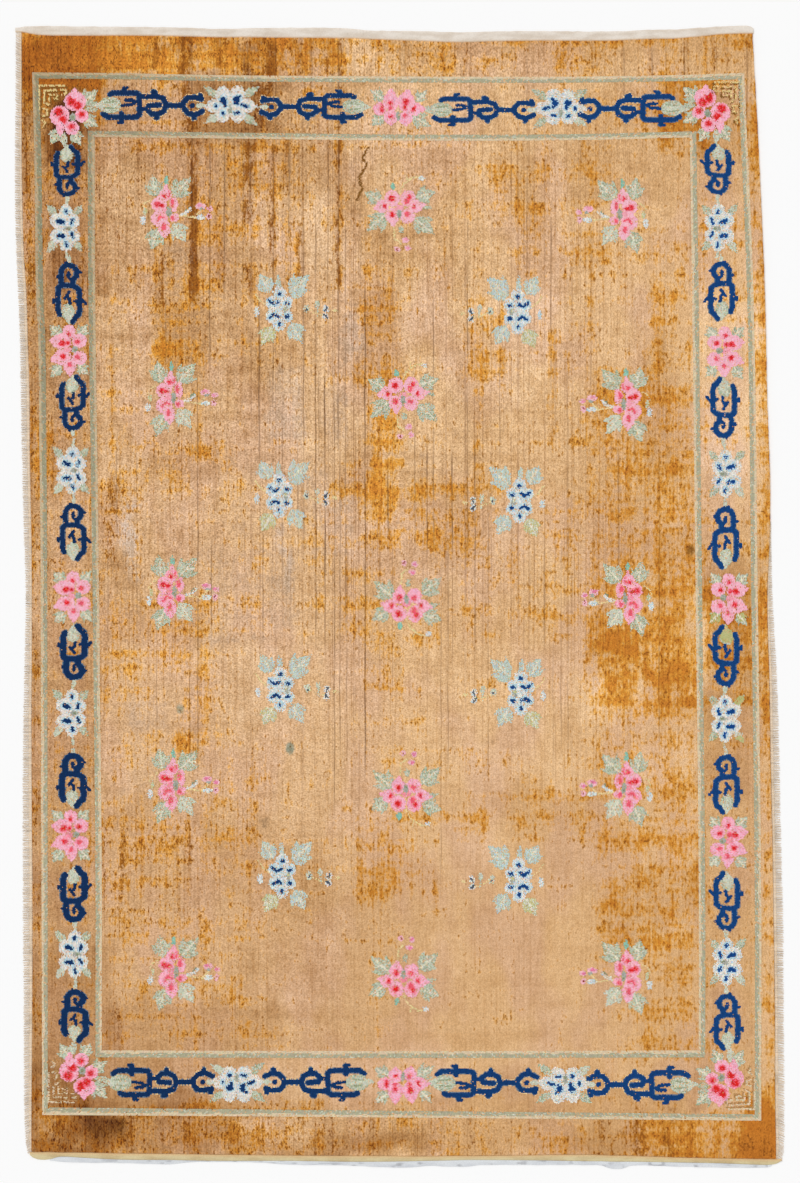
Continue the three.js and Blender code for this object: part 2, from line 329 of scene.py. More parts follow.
def drop_walls(piece, depth):
    """Extrudes the open edges straight down."""
    with editing(piece):
        select_open_edges()
        bpy.ops.mesh.extrude_edges_move(TRANSFORM_OT_translate={"value": (0, 0, -depth)})


def close_underside(piece):
    """Fills the lowest open loop with one face."""
    with editing(piece):
        select_open_edges()
        bpy.ops.mesh.edge_face_add()


def make_outward(piece):
    """Recalculates which way the faces look, on closed shapes."""
    with editing(piece):
        bpy.ops.mesh.select_all(action="SELECT")
        bpy.ops.mesh.normals_make_consistent(inside=False)


def named(name):
    """Gives the active piece and its mesh this name."""
    piece = bpy.context.active_object
    piece.name = name
    piece.data.name = name
    return piece


def join_pieces(name, parts):
    bpy.ops.object.select_all(action="DESELECT")
    for part in parts:
        part.select_set(True)
    bpy.context.view_layer.objects.active = parts[0]
    if len(parts) > 1:
        bpy.ops.object.join()
    return named(name)


def copy_piece(piece):
    copied = piece.copy()
    copied.data = piece.data.copy()
    bpy.context.scene.collection.objects.link(copied)
    return copied


def set_colours(piece, colours):
    """The dye of each knot, for each corner of its face."""
    layer = piece.data.attributes.new("knot_dye", "FLOAT_COLOR", "CORNER")
    full = np.ones((len(colours) * 4, 4), np.float32)
    full[:, :3] = np.repeat(colours, 4, 0)
    layer.data.foreach_set("color", full.ravel())


def mark_gone(piece, gone):
    """Notes which knots are lost, until settle_knots takes them out."""
    layer = piece.data.attributes.new("gone", "BOOLEAN", "FACE")
    layer.data.foreach_set("value", gone)


def set_bake_map(piece, places):
    """The piece's own flat map, one place for each face corner."""
    layer = piece.data.uv_layers.get("OFBake") or piece.data.uv_layers.new(name="OFBake")
    layer.uv.foreach_set("vector", np.asarray(places, np.float32).ravel())


def dye_colour(dye):
    return np.array(linear(*DYES[dye])[:3])


def dyed(chart, spread=0.045):
    """Linear colours for these dyes, each knot a little its own shade."""
    colours = np.array([dye_colour(dye) for dye in DYE_NAMES])[chart]
    shade = rng.normal(1.0, spread * 2.2, (len(colours), 1))
    tint = rng.normal(1.0, spread, (len(colours), 3))
    return np.clip(colours * shade * tint, 0.002, 0.95)


def has_dye(chart, *dyes):
    """Which knots have one of these dyes."""
    return np.isin(chart, [DYE_NAMES.index(dye) for dye in dyes])


# Node helpers


def new_material(name):
    material = bpy.data.materials.new(name)
    material.use_nodes = True
    tree = material.node_tree
    tree.nodes.clear()
    return material, tree


def feed(tree, socket, value):
    """Links a socket to another, or sets its constant."""
    if isinstance(value, bpy.types.NodeSocket):
        tree.links.new(value, socket)
    else:
        socket.default_value = value


def calc(tree, operation, a, b=0.0, c=0.0):
    node = tree.nodes.new("ShaderNodeMath")
    node.operation = operation
    for socket, value in zip(node.inputs, (a, b, c)):
        feed(tree, socket, value)
    return node.outputs[0]


def add(tree, first, *others):
    for other in others:
        first = calc(tree, "ADD", first, other)
    return first


def times(tree, a, b):
    return calc(tree, "MULTIPLY", a, b)


def vector_calc(tree, operation, a, b=(0.0, 0.0, 0.0)):
    node = tree.nodes.new("ShaderNodeVectorMath")
    node.operation = operation
    feed(tree, node.inputs[0], a)
    feed(tree, node.inputs[1], b)
    return node.outputs[0]


def lighten(tree, colour, light):
    """A colour made lighter or darker by a share."""
    node = tree.nodes.new("ShaderNodeVectorMath")
    node.operation = "SCALE"
    tree.links.new(colour, node.inputs[0])
    tree.links.new(light, node.inputs["Scale"])
    return node.outputs[0]


def powers_of(tree, value, powers):
    """A colour with a power of one value in each of its parts."""
    node = tree.nodes.new("ShaderNodeCombineXYZ")
    for socket, power in zip(node.inputs, powers):
        tree.links.new(calc(tree, "POWER", value, power), socket)
    return node.outputs[0]


def split(tree, value):
    """The three parts of a place or of a painted vector."""
    node = tree.nodes.new("ShaderNodeSeparateXYZ")
    tree.links.new(value, node.inputs[0])
    return node.outputs


def blend_colour(tree, factor, first, second):
    node = tree.nodes.new("ShaderNodeMix")
    node.data_type = "RGBA"
    feed(tree, node.inputs[0], factor)
    feed(tree, node.inputs[6], first)
    feed(tree, node.inputs[7], second)
    return node.outputs[2]


def ramp(tree, value, low, high, to_low=0.0, to_high=1.0):
    """A soft step from one level to another."""
    node = tree.nodes.new("ShaderNodeMapRange")
    node.interpolation_type = "SMOOTHSTEP"
    feed(tree, node.inputs["Value"], value)
    feed(tree, node.inputs["From Min"], low)
    feed(tree, node.inputs["From Max"], high)
    feed(tree, node.inputs["To Min"], to_low)
    feed(tree, node.inputs["To Max"], to_high)
    return node.outputs[0]


def swing(tree, value, size):
    """A share from 0 to 1 as a swing of that size about nothing."""
    return times(tree, calc(tree, "SUBTRACT", value, 0.5), size)


def swings(tree, signals, sizes):
    """The sum of several signals, each swinging about nothing by its own size."""
    return add(tree, *[swing(tree, signals[name], size) for name, size in sizes.items()])


def object_place(tree):
    return tree.nodes.new("ShaderNodeTexCoord").outputs["Object"]


def noise(tree, place, per_metre, detail, shift=(0, 0, 0), harshness=0.5):
    """Soft noise, its frequency for each axis given in lumps a metre."""
    mapping = tree.nodes.new("ShaderNodeMapping")
    mapping.inputs["Scale"].default_value = per_metre
    mapping.inputs["Location"].default_value = shift
    tree.links.new(place, mapping.inputs["Vector"])
    node = tree.nodes.new("ShaderNodeTexNoise")
    node.inputs["Scale"].default_value = 1.0
    node.inputs["Detail"].default_value = detail
    node.inputs["Roughness"].default_value = harshness
    tree.links.new(mapping.outputs[0], node.inputs["Vector"])
    return node.outputs[0]


def knot_chance(tree, place, cell, shift=(0.0, 0.0, 0.0)):
    """One random number for each knot-sized cell."""
    scaled = vector_calc(tree, "MULTIPLY", place, (1 / cell[0], 1 / cell[1], 0.0))
    moved = vector_calc(tree, "ADD", scaled, shift)
    node = tree.nodes.new("ShaderNodeTexWhiteNoise")
    node.noise_dimensions = "3D"
    tree.links.new(vector_calc(tree, "FLOOR", moved), node.inputs["Vector"])
    return node.outputs["Value"]


def attribute(tree, name):
    node = tree.nodes.new("ShaderNodeAttribute")
    node.attribute_name = name
    return node


def knot_relief(tree, place, chance, chance_share):
    """Height of the tufts: a low dome over each knot, some knots higher."""
    waves = []
    for part in split(tree, place)[:2]:
        sine = calc(tree, "SINE", times(tree, part, math.pi / KNOT))
        waves.append(calc(tree, "ABSOLUTE", sine))
    dome = times(tree, times(tree, *waves), 0.6)
    return add(tree, dome, times(tree, chance, chance_share))


def finish_cloth(tree, colour, height, roughness, sheen, bump_strength, bump_depth):
    """Ends a cloth's tree: colour, roughness, a soft sheen and the relief of its threads."""
    shader = tree.nodes.new("ShaderNodeBsdfPrincipled")
    output = tree.nodes.new("ShaderNodeOutputMaterial")
    bump = tree.nodes.new("ShaderNodeBump")
    bump.inputs["Strength"].default_value = bump_strength
    bump.inputs["Distance"].default_value = bump_depth
    feed(tree, bump.inputs["Height"], height)
    feed(tree, shader.inputs["Base Color"], colour)
    feed(tree, shader.inputs["Roughness"], roughness)
    shader.inputs["Sheen Weight"].default_value = sheen
    shader.inputs["Sheen Roughness"].default_value = 0.4
    shader.inputs["Specular IOR Level"].default_value = 0.1
    tree.links.new(bump.outputs[0], shader.inputs["Normal"])
    tree.links.new(shader.outputs[0], output.inputs[0])


# The ground of the pile


# Stains and bare places by kind, in knots: left, right, top, bottom, strength
STAINS = {
    "ochre": [
        (18, 36, 40, 1150, 0.50), (18, 130, 34, 76, 1.20), (130, 345, 34, 75, 0.80),
        (345, 745, 34, 72, 0.32), (650, 745, 36, 90, 0.44), (660, 716, 76, 150, 0.82),
        (40, 100, 76, 140, 0.50), (90, 345, 82, 130, 0.52), (345, 660, 84, 130, 0.28),
        (36, 62, 430, 490, 0.72), (18, 320, 1106, 1157, 0.62), (180, 345, 1134, 1156, 0.52),
        (345, 640, 1118, 1156, 0.30), (640, 782, 1106, 1157, 0.72), (756, 775, 230, 750, 0.74),
        (764, 780, 745, 1120, 0.52), (742, 766, 90, 235, 0.52), (704, 752, 130, 420, 0.20),
        (700, 776, 580, 660, 0.52), (44, 92, 130, 400, 0.30), (46, 95, 560, 1060, 0.14),
        (190, 226, 144, 264, 0.46), (240, 300, 134, 262, 0.34), (154, 206, 288, 378, 0.66),
        (238, 276, 346, 376, 0.38), (150, 240, 450, 480, 0.50), (98, 140, 470, 565, 0.40),
        (360, 402, 292, 392, 0.46), (362, 404, 396, 516, 0.68), (330, 362, 450, 520, 0.30),
        (364, 404, 516, 700, 0.34), (464, 500, 320, 380, 0.54), (480, 600, 480, 600, 0.24),
        (495, 550, 160, 196, 0.46), (577, 612, 146, 200, 0.42), (576, 614, 228, 268, 0.50),
        (520, 552, 232, 284, 0.42), (588, 702, 366, 442, 0.66), (586, 700, 430, 520, 0.58),
        (596, 700, 520, 610, 0.66), (646, 698, 230, 375, 0.34), (560, 600, 330, 380, 0.30),
        (176, 212, 596, 766, 0.42), (96, 215, 596, 712, 0.32), (158, 224, 640, 668, 0.42),
        (596, 640, 612, 704, 0.80), (640, 699, 606, 720, 0.64), (600, 699, 704, 790, 0.46),
        (630, 699, 790, 890, 0.44), (590, 699, 880, 956, 0.58), (640, 698, 956, 1048, 0.36),
        (420, 600, 602, 642, 0.44), (425, 600, 786, 826, 0.40), (100, 200, 786, 905, 0.36),
        (200, 260, 804, 872, 0.36), (355, 440, 820, 905, 0.42), (150, 295, 146, 290, 0.34),
        (418, 482, 478, 562, 0.48), (588, 642, 540, 770, 0.52), (598, 642, 626, 664, 1.10),
        (684, 716, 82, 118, 1.10), (608, 642, 744, 770, 0.70), (684, 702, 874, 920, 0.80),
        (24, 64, 1134, 1156, 1.05), (174, 206, 1136, 1156, 0.95), (366, 396, 1138, 1156, 0.75),
        (636, 704, 1124, 1156, 1.00), (730, 784, 1136, 1158, 1.10), (220, 300, 720, 800, 0.20),
        (104, 250, 905, 1045, 0.16), (18, 152, 30, 74, 1.45), (682, 698, 84, 102, 1.30),
        (700, 776, 596, 706, 0.56), (676, 704, 674, 706, 1.10), (738, 780, 1130, 1158, 1.30),
        (596, 644, 816, 864, 0.42), (682, 704, 866, 908, 1.00), (130, 345, 30, 60, 1.15),
        (345, 760, 30, 58, 0.66), (350, 400, 240, 304, 0.16), (394, 432, 470, 524, 0.52),
        (598, 634, 466, 524, 0.60), (584, 646, 630, 662, 1.25), (640, 700, 656, 688, 1.30),
        (700, 778, 596, 642, 0.80), (740, 792, 1106, 1164, 1.80), (208, 304, 148, 204, 0.50),
        (516, 546, 166, 264, 0.48), (584, 604, 166, 196, 0.60), (636, 704, 380, 460, 0.52),
        (340, 396, 560, 640, 0.36), (190, 212, 690, 746, 0.66), (14, 100, 26, 96, 1.60),
        (590, 700, 892, 930, 0.62), (640, 704, 1040, 1060, 0.50), (690, 704, 700, 740, 0.40),
    ],
    "brown": [
        (18, 32, 60, 420, 0.55), (20, 40, 430, 1100, 0.36), (20, 60, 540, 640, 0.25),
        (18, 130, 36, 74, 0.16), (100, 345, 82, 132, 0.24), (18, 330, 1106, 1157, 0.34),
        (600, 700, 1112, 1154, 0.25), (735, 778, 1132, 1156, 0.36), (44, 92, 130, 420, 0.24),
        (98, 140, 486, 556, 0.34), (104, 340, 134, 165, 0.22), (104, 160, 134, 290, 0.20),
        (104, 200, 820, 930, 0.22), (640, 700, 640, 700, 0.20),
    ],
    "dark": [
        (58, 112, 46, 62, 0.18), (84, 124, 1106, 1146, 0.62),
    ],
    "clean": [
        (270, 302, 696, 836, 0.24), (498, 544, 296, 334, 0.26), (405, 600, 840, 1048, 0.26),
        (230, 350, 640, 760, 0.20), (430, 590, 650, 780, 0.14), (300, 360, 920, 1040, 0.30),
        (205, 360, 380, 470, 0.24), (400, 470, 240, 480, 0.18), (490, 545, 380, 560, 0.16),
        (104, 150, 180, 260, 0.16), (100, 345, 84, 132, 0.22), (345, 535, 84, 132, 0.30),
        (100, 345, 1066, 1094, 0.40), (445, 535, 1066, 1094, 0.36), (110, 170, 1108, 1134, 0.20),
        (245, 335, 1108, 1138, 0.28), (312, 345, 195, 300, 0.28), (245, 296, 214, 246, 0.20),
        (582, 602, 700, 762, 0.28), (636, 664, 946, 974, 0.26), (480, 502, 300, 332, 0.26),
        (656, 692, 246, 292, 0.26),
    ],
    "pale": [
        (124, 139, 506, 572, 0.70), (277, 291, 530, 596, 0.70), (264, 307, 370, 450, 0.55),
        (340, 366, 300, 362, 0.50), (140, 190, 225, 290, 0.30), (200, 300, 540, 640, 0.36),
        (300, 360, 470, 560, 0.40), (120, 170, 700, 790, 0.32), (230, 330, 440, 540, 0.32),
        (320, 350, 370, 450, 0.40), (420, 470, 350, 480, 0.26), (560, 640, 196, 230, 0.22),
    ],
}

# Where the pile is darker or lighter as a whole, in knots: left, right, top, bottom, how much
SHADES = [
    (10, 104, 30, 300, 0.26), (10, 96, 300, 520, 0.22), (10, 96, 520, 1160, 0.18),
    (10, 350, 30, 134, 0.06), (350, 770, 30, 72, 0.08), (104, 345, 134, 300, 0.08),
    (10, 240, 1060, 1160, 0.22), (240, 700, 1100, 1160, 0.14), (500, 560, 140, 240, 0.06),
    (53, 78, 102, 163, 0.60), (160, 200, 1092, 1110, 0.16), (96, 124, 1010, 1056, 0.12),
    (340, 372, 440, 490, 0.12), (300, 500, 870, 1050, 0.10), (400, 470, 150, 290, 0.08),
    (176, 256, 40, 66, -0.14), (236, 262, 140, 172, -0.16), (35, 67, 1117, 1143, -0.28),
    (640, 700, 1124, 1148, -0.16), (586, 615, 688, 726, -0.16), (714, 746, 664, 696, -0.10),
    (590, 700, 500, 780, 0.05), (500, 700, 790, 1050, 0.08), (570, 760, 90, 200, 0.10),
    (104, 280, 1000, 1060, 0.14), (150, 290, 380, 470, 0.07), (360, 400, 230, 400, 0.14),
    (645, 670, 330, 470, 0.10), (700, 760, 560, 1100, 0.14), (200, 300, 820, 900, 0.10),
    (160, 292, 306, 384, 0.10), (189, 283, 79, 142, 0.27), (338, 372, 188, 224, 0.12),
    (440, 600, 400, 540, 0.05), (86, 114, 1108, 1132, 0.20), (338, 442, 1142, 1158, 0.14),
    (706, 782, 1138, 1162, 0.06), (700, 748, 500, 800, 0.10), (280, 332, 836, 992, 0.10),
    (100, 205, 596, 644, 0.06), (554, 584, 706, 754, 0.08), (366, 400, 396, 530, -0.12),
    (480, 560, 300, 390, -0.08), (110, 280, 640, 720, -0.08), (690, 770, 290, 480, -0.12),
    (250, 336, 196, 272, -0.16), (237, 315, 1117, 1143, -0.20), (338, 382, 34, 72, -0.12),
    (128, 162, 48, 74, -0.12), (16, 32, 206, 304, -0.16), (16, 40, 548, 624, -0.14),
    (104, 142, 446, 562, -0.08), (628, 702, 738, 862, -0.08), (594, 704, 560, 780, -0.05),
    (616, 654, 616, 724, -0.06), (296, 344, 196, 294, -0.06), (368, 396, 336, 386, -0.10),
    (194, 216, 596, 664, -0.08), (286, 344, 876, 1004, -0.08), (434, 466, 936, 986, -0.06),
    (496, 564, 496, 564, -0.06), (34, 56, 452, 488, -0.10), (716, 744, 152, 176, -0.08),
    (750, 772, 276, 404, -0.08), (60, 130, 38, 70, -0.10), (46, 78, 196, 284, 0.11),
    (179, 201, 35, 56, 0.24), (237, 258, 36, 65, 0.22), (696, 744, 104, 154, 0.12),
    (112, 136, 414, 456, 0.10), (108, 135, 558, 583, 0.20), (26, 114, 936, 1094, 0.10),
    (146, 186, 1090, 1110, 0.12), (456, 704, 1070, 1102, 0.11), (570, 634, 1126, 1154, 0.12),
    (44, 80, 196, 244, 0.08), (100, 290, 96, 134, 0.06), (290, 370, 200, 250, 0.06),
    (98, 116, 480, 520, 0.12), (688, 718, 580, 686, -0.14), (28, 88, 500, 610, -0.08),
    (600, 642, 678, 706, -0.08), (640, 694, 926, 948, -0.10), (656, 776, 498, 522, -0.08),
    (98, 122, 1096, 1152, 0.10), (278, 424, 1134, 1158, 0.10), (478, 534, 1072, 1098, 0.08),
    (138, 182, 48, 72, -0.10), (298, 386, 44, 74, -0.10), (240, 304, 900, 990, 0.05),
    (560, 700, 1044, 1104, 0.05), (98, 144, 804, 830, 0.08), (28, 48, 856, 904, 0.10),
    (98, 184, 1088, 1110, 0.08), (346, 374, 84, 104, 0.08), (112, 130, 108, 130, 0.08),
    (122, 186, 36, 62, -0.12), (196, 244, 44, 66, -0.12), (256, 286, 42, 62, -0.08),
    (350, 396, 258, 292, -0.05), (56, 88, 394, 420, -0.10), (56, 86, 508, 536, -0.10),
    (696, 766, 612, 666, -0.08), (650, 700, 636, 686, -0.07), (364, 396, 366, 396, -0.08),
    (14, 128, 28, 76, -0.10), (60, 130, 1104, 1150, 0.10), (20, 110, 1090, 1160, 0.04),
    (100, 345, 880, 1050, 0.03), (104, 330, 130, 160, 0.05),
]

# Streaks down the pile by kind, in knots: place, top, bottom, width, strength
STREAKS = {
    "brown": [
        (193.5, 150, 300, 9, 0.95), (249, 136, 224, 13, 0.74), (249, 260, 292, 8, 0.70),
        (272.5, 140, 272, 6, 0.84), (288.5, 140, 206, 7, 0.48), (301.5, 230, 288, 6, 0.74),
        (209.5, 138, 194, 5, 0.55), (222, 166, 210, 9, 0.42), (225.5, 250, 290, 4, 0.55),
        (163, 246, 312, 13, 0.50), (136, 260, 284, 12, 0.50), (138, 138, 180, 13, 0.44),
        (180, 130, 166, 10, 0.46), (339.4, 134, 286, 4.4, 0.90), (311, 140, 182, 4, 0.40),
        (329, 150, 300, 3, 0.40), (155.5, 34, 74, 8, 0.66), (187, 34, 78, 13, 0.85),
        (222, 34, 74, 12, 0.62), (268, 34, 98, 15, 0.80), (300, 34, 78, 8, 0.60), (325, 34, 78, 6, 0.55),
        (339.4, 34, 134, 4.4, 0.92), (60, 36, 72, 18, 0.48), (118, 38, 66, 8, 0.60),
        (624, 34, 78, 8, 0.55), (652, 36, 78, 7, 0.48), (684, 36, 80, 9, 0.52), (716, 36, 74, 8, 0.48),
        (747, 38, 78, 6, 0.50), (590, 36, 72, 10, 0.38), (470, 36, 68, 10, 0.34),
        (130, 82, 132, 10, 0.50), (187, 78, 134, 12, 0.70), (212, 80, 98, 8, 0.58),
        (256, 76, 134, 13, 0.66), (276, 84, 134, 8, 0.56), (322, 112, 134, 12, 0.44),
        (112, 478, 564, 12, 0.58), (98, 556, 604, 8, 0.58), (106, 818, 960, 7, 0.45),
        (124, 826, 904, 8, 0.50), (190, 826, 872, 8, 0.50), (255, 826, 884, 6, 0.50),
        (118, 1000, 1046, 10, 0.50), (205, 940, 1044, 5, 0.32), (60, 1106, 1154, 18, 0.56),
        (130, 1106, 1154, 12, 0.58), (160, 1108, 1154, 11, 0.56), (186, 1104, 1154, 9, 0.56),
        (214, 1108, 1154, 9, 0.46), (330, 1106, 1156, 10, 0.44), (372, 1108, 1156, 9, 0.46),
        (470, 1108, 1156, 9, 0.40), (604, 1108, 1156, 11, 0.42), (640, 1104, 1156, 14, 0.56),
        (668, 1104, 1156, 13, 0.56), (765, 1134, 1157, 12, 0.45),
    ],
    "ochre": [
        (257, 134, 264, 10, 0.62), (287, 200, 264, 6, 0.58), (272, 268, 332, 6, 0.46),
        (207, 296, 362, 7, 0.56), (477, 334, 556, 8, 0.62), (552, 326, 444, 8, 0.58),
        (658, 336, 600, 8, 0.68), (598, 466, 600, 13, 0.48), (592, 224, 352, 6, 0.56),
        (656, 232, 396, 9, 0.50), (389, 352, 514, 15, 0.72), (480, 352, 422, 10, 0.52),
        (678, 308, 422, 11, 0.54), (690, 478, 704, 10, 0.66), (624, 488, 620, 13, 0.58),
        (612, 640, 786, 12, 0.56), (656, 700, 962, 9, 0.48), (684, 756, 962, 11, 0.56),
        (378, 290, 392, 11, 0.52), (446, 226, 300, 7, 0.40), (200, 590, 764, 9, 0.64),
        (120, 586, 722, 10, 0.42), (198, 356, 484, 7, 0.44), (240, 316, 484, 6, 0.38),
        (110, 256, 474, 7, 0.34), (140, 786, 910, 9, 0.46),
    ],
}

# Painted shade along creases, dark brown in the pile's colour, in knots: width, strength, points
CREASE_SHADE_LINES = [
    (6.0, 0.80, (246, 66), (254, 80), (262, 92), (267, 104)),
    (3.0, 0.45, (96, 186), (104, 200), (112, 218), (119, 238)),
]

# Dark drawn lines down the pile, in knots: place, top, bottom, width, strength
LINES = [
    (338.6, 38, 460, 1.8, 0.62), (340.0, 450, 760, 1.3, 0.60), (345.6, 220, 640, 1.2, 0.56),
    (347.0, 560, 770, 1.2, 0.50), (365.2, 285, 780, 1.5, 0.86), (361.0, 200, 300, 1.0, 0.40),
    (273.4, 138, 430, 1.5, 0.62), (210.0, 138, 400, 1.5, 0.66), (211.5, 540, 650, 1.4, 0.60),
    (198.0, 370, 780, 1.4, 0.62), (224.5, 138, 310, 1.7, 0.64), (243.0, 138, 310, 1.3, 0.50),
    (250.0, 138, 230, 1.7, 0.64), (259.4, 290, 470, 1.6, 0.70), (263.0, 530, 650, 1.5, 0.60),
    (289.0, 138, 310, 1.6, 0.64), (304.0, 220, 560, 1.4, 0.66), (298.0, 440, 570, 1.3, 0.56),
    (316.0, 220, 650, 1.4, 0.68), (325.0, 370, 650, 1.5, 0.84), (334.6, 360, 820, 1.4, 0.66),
    (319.0, 370, 470, 1.2, 0.50), (328.0, 140, 310, 1.2, 0.44), (306.0, 138, 230, 1.1, 0.36),
    (433.5, 290, 560, 1.4, 0.62), (427.0, 450, 560, 1.4, 0.68), (452.0, 450, 560, 1.5, 0.84),
    (448.0, 540, 780, 1.3, 0.54), (441.0, 560, 900, 1.2, 0.44), (467.6, 220, 560, 1.4, 0.66),
    (475.0, 440, 660, 1.4, 0.62), (388.0, 455, 550, 1.5, 0.80), (415.0, 370, 560, 1.2, 0.50),
    (500.0, 290, 470, 1.3, 0.54), (488.0, 460, 780, 1.2, 0.46), (551.0, 220, 390, 1.5, 0.62),
    (544.0, 530, 650, 1.4, 0.52), (561.0, 540, 760, 1.2, 0.44), (568.0, 370, 780, 1.2, 0.44),
    (591.0, 220, 400, 1.2, 0.40), (618.5, 450, 650, 1.3, 0.52), (634.0, 380, 480, 1.2, 0.40),
    (659.0, 450, 780, 1.3, 0.48), (690.0, 160, 300, 1.3, 0.42), (553.0, 640, 780, 1.1, 0.36),
    (117.0, 440, 560, 1.4, 0.46), (108.0, 540, 650, 1.4, 0.44), (137.0, 440, 640, 1.2, 0.40),
    (157.0, 620, 780, 1.1, 0.34), (166.0, 290, 400, 1.2, 0.38), (190.0, 620, 780, 1.3, 0.52),
    (192.0, 38, 230, 1.6, 0.50), (214.0, 38, 100, 1.4, 0.44), (248.0, 38, 120, 1.4, 0.44),
    (276.0, 38, 128, 1.6, 0.50), (312.0, 38, 120, 1.4, 0.46), (527.0, 40, 300, 1.2, 0.40),
    (624.0, 40, 140, 1.6, 0.48), (652.0, 40, 132, 1.8, 0.48), (666.0, 40, 132, 1.6, 0.44),
    (684.0, 40, 150, 1.8, 0.52), (716.0, 40, 120, 1.8, 0.48), (747.0, 40, 150, 1.6, 0.48),
]

# Round marks, in knots: what they are, place across, place down, radius across and down
SPOTS = [
    ("dark", 690.8, 550.7, 5.5, 5.5, 0.75), ("grey", 290.0, 748.4, 5.0, 7.0, 0.7),
    ("grey", 180.4, 708.8, 5.0, 6.0, 0.6), ("dark", 264.5, 822.3, 6.0, 6.5, 0.6),
]
EDGE_SOFTNESS = 13.0


def soft_patch(x, y, left, right, top, bottom):
    """1 inside a patch and 0 outside, its outline soft. Knots in."""
    across = np.minimum(x - left, right - x)
    along = np.minimum(y - top, bottom - y)
    return np.clip(np.minimum(across, along * 0.7) / EDGE_SOFTNESS + 0.5, 0, 1)


def stain_levels(x, y):
    """How ochre, brown with the painted shade of creases, dark, pale, grey and shaded the pile is at places
    on the chart.
    """
    tones = ("ochre", "brown", "dark", "pale", "grey", "clean", "shade")
    levels = {tone: np.zeros(len(x)) for tone in tones}

    def stains_and_crease_shade(tone, strength):
        levels[tone] = np.maximum(levels[tone], strength)

    drift_x = x + (smooth_noise(x, y, 20, 5) - 0.5) * 16
    drift_y = y + (smooth_noise(x, y, 20, 6) - 0.5) * 30
    for tone, rows in STAINS.items():
        for *patch, strength in rows:
            stains_and_crease_shade(tone, soft_patch(drift_x, drift_y, *patch) * strength)

    sway = x + (smooth_noise(x * 0.3, y, 36, 8) - 0.5) * 4 + (smooth_noise(x * 0.3, y, 7, 18) - 0.5) * 3
    ends = (smooth_noise(x * 2, y * 0.1, 3, 21) - 0.5) * 16
    patchy = 0.12 + 0.85 * smooth_noise(x * 2, y, 12, 9) + 0.65 * smooth_noise(x * 2, y, 5, 19)
    patchy = np.minimum(patchy, 1.15)
    for tone, rows in STREAKS.items():
        for place, top, bottom, width, strength in rows:
            end = np.clip((np.minimum(y - top, bottom - y) + ends) / 14 + 0.5, 0, 1)
            inside = width / 2 - np.abs(sway - place)
            stains_and_crease_shade(tone, np.clip(inside / 3 + 0.5, 0, 1) * end * patchy * strength)
            if tone == "brown":
                beside = np.clip((inside + 3) / 4 + 0.5, 0, 1)
                stains_and_crease_shade("ochre", beside * end * patchy * strength * 0.8)
    # Painted shade of the creases, put into the brown level along each crease line.
    for width, strength, *points in CREASE_SHADE_LINES:
        stains_and_crease_shade("brown", np.clip(1 - line_reach(x, y, width, *points) / 3, 0, 1) * strength)
    for tone, middle_x, middle_y, across, along, strength in SPOTS:
        reach = np.hypot((x - middle_x) / across, (y - middle_y) / along)
        stains_and_crease_shade(tone, np.clip(1.6 - reach, 0, 1) * strength)
    levels["ochre"] -= levels["clean"]
    for *patch, amount in SHADES:
        levels["shade"] += soft_patch(drift_x, drift_y, *patch) * amount
    return levels


def combed_thin(x, y):
    """Where the pile is combed thin: the middle of the field, least low down."""
    across = np.clip((x - 150) / 120, 0, 1) * np.clip((690 - x) / 150, 0, 1)
    return across * (np.clip((y - 60) / 90, 0, 1) * np.clip((980 - y) / 420, 0.15, 1))


def unevenness(x, y):
    """How uneven the pile's tone is: most in the worn upper left, least low down."""
    left = np.clip((430 - x) / 160, 0.0, 1.0)
    upper = np.clip(1.45 + 0.30 * left - y / 800, 0.0, 1.0 + 0.3 * left)
    upper = np.maximum(upper, 1.3 * np.clip((86 - y) / 10, 0, 1))
    calm = np.clip((y - 700) / 150, 0, 1) * np.clip(1.5 - np.abs(x - 500) / 120, 0, 1)
    upper = upper * (1 - 0.6 * calm)
    right = np.clip((x - 430) / 300, 0.0, 1.0)
    lower_margin = np.clip((y - 1100) / 12, 0.0, 1.0) * np.clip((700 - x) / 300, 0.3, 1.0)
    return np.maximum(upper * (1 - 0.60 * right) + 0.12, lower_margin * 0.9)


# Colours of the ground, as red, green and blue of 255
GROUND_TONES = {
    "tan": (217, 174, 129), "warm_tan": (228, 185, 136), "rosy_tan": (220, 177, 142),
    "golden": (214, 148, 42), "deep_golden": (190, 110, 9), "pale": (216, 196, 180),
    "brown": (136, 75, 14), "dark": (74, 50, 24), "grey": (92, 128, 116),
    "fleck": (120, 64, 14), "combed": (126, 78, 46), "line": (96, 58, 30),
}

# Noises of the ground: lumps a metre on each axis, detail, shift, harshness
GROUND_NOISES = {
    "haze": ((2.2, 1.6, 1), 3.0, (0, 0, 0), 0.5),
    "rosy": ((7, 4, 1), 2.0, (9.1, 1.0, 0), 0.5),
    "clouds": ((13, 8, 1), 6.0, (6.1, 3.3, 0), 0.6),
    "clots": ((50, 27, 1), 3.0, (3.1, 8.2, 0), 0.55),
    "upright": ((46, 1.8, 1), 4.0, (1.3, 0.2, 0), 0.6),
    "crosswise": ((1.7, 26, 1), 4.0, (7.3, 2.9, 0), 0.6),
    "streaks": ((170, 4, 1), 1.0, (2.3, 9.2, 0), 0.5),
    "threads": ((420, 130, 1), 2.0, (5.3, 2.2, 0), 0.5),
    "blots": ((150, 66, 1), 1.5, (4.1, 7.7, 0), 0.6),
}

# What is painted on the ground's vertices: each attribute and its three parts
PAINTED_LEVELS = {
    "stains_and_crease_shade": ("ochre", "brown", "dark"),
    "worn": ("pale", "grey", "combed"),
    "feel": ("uneven", "shade", "nothing"),
}


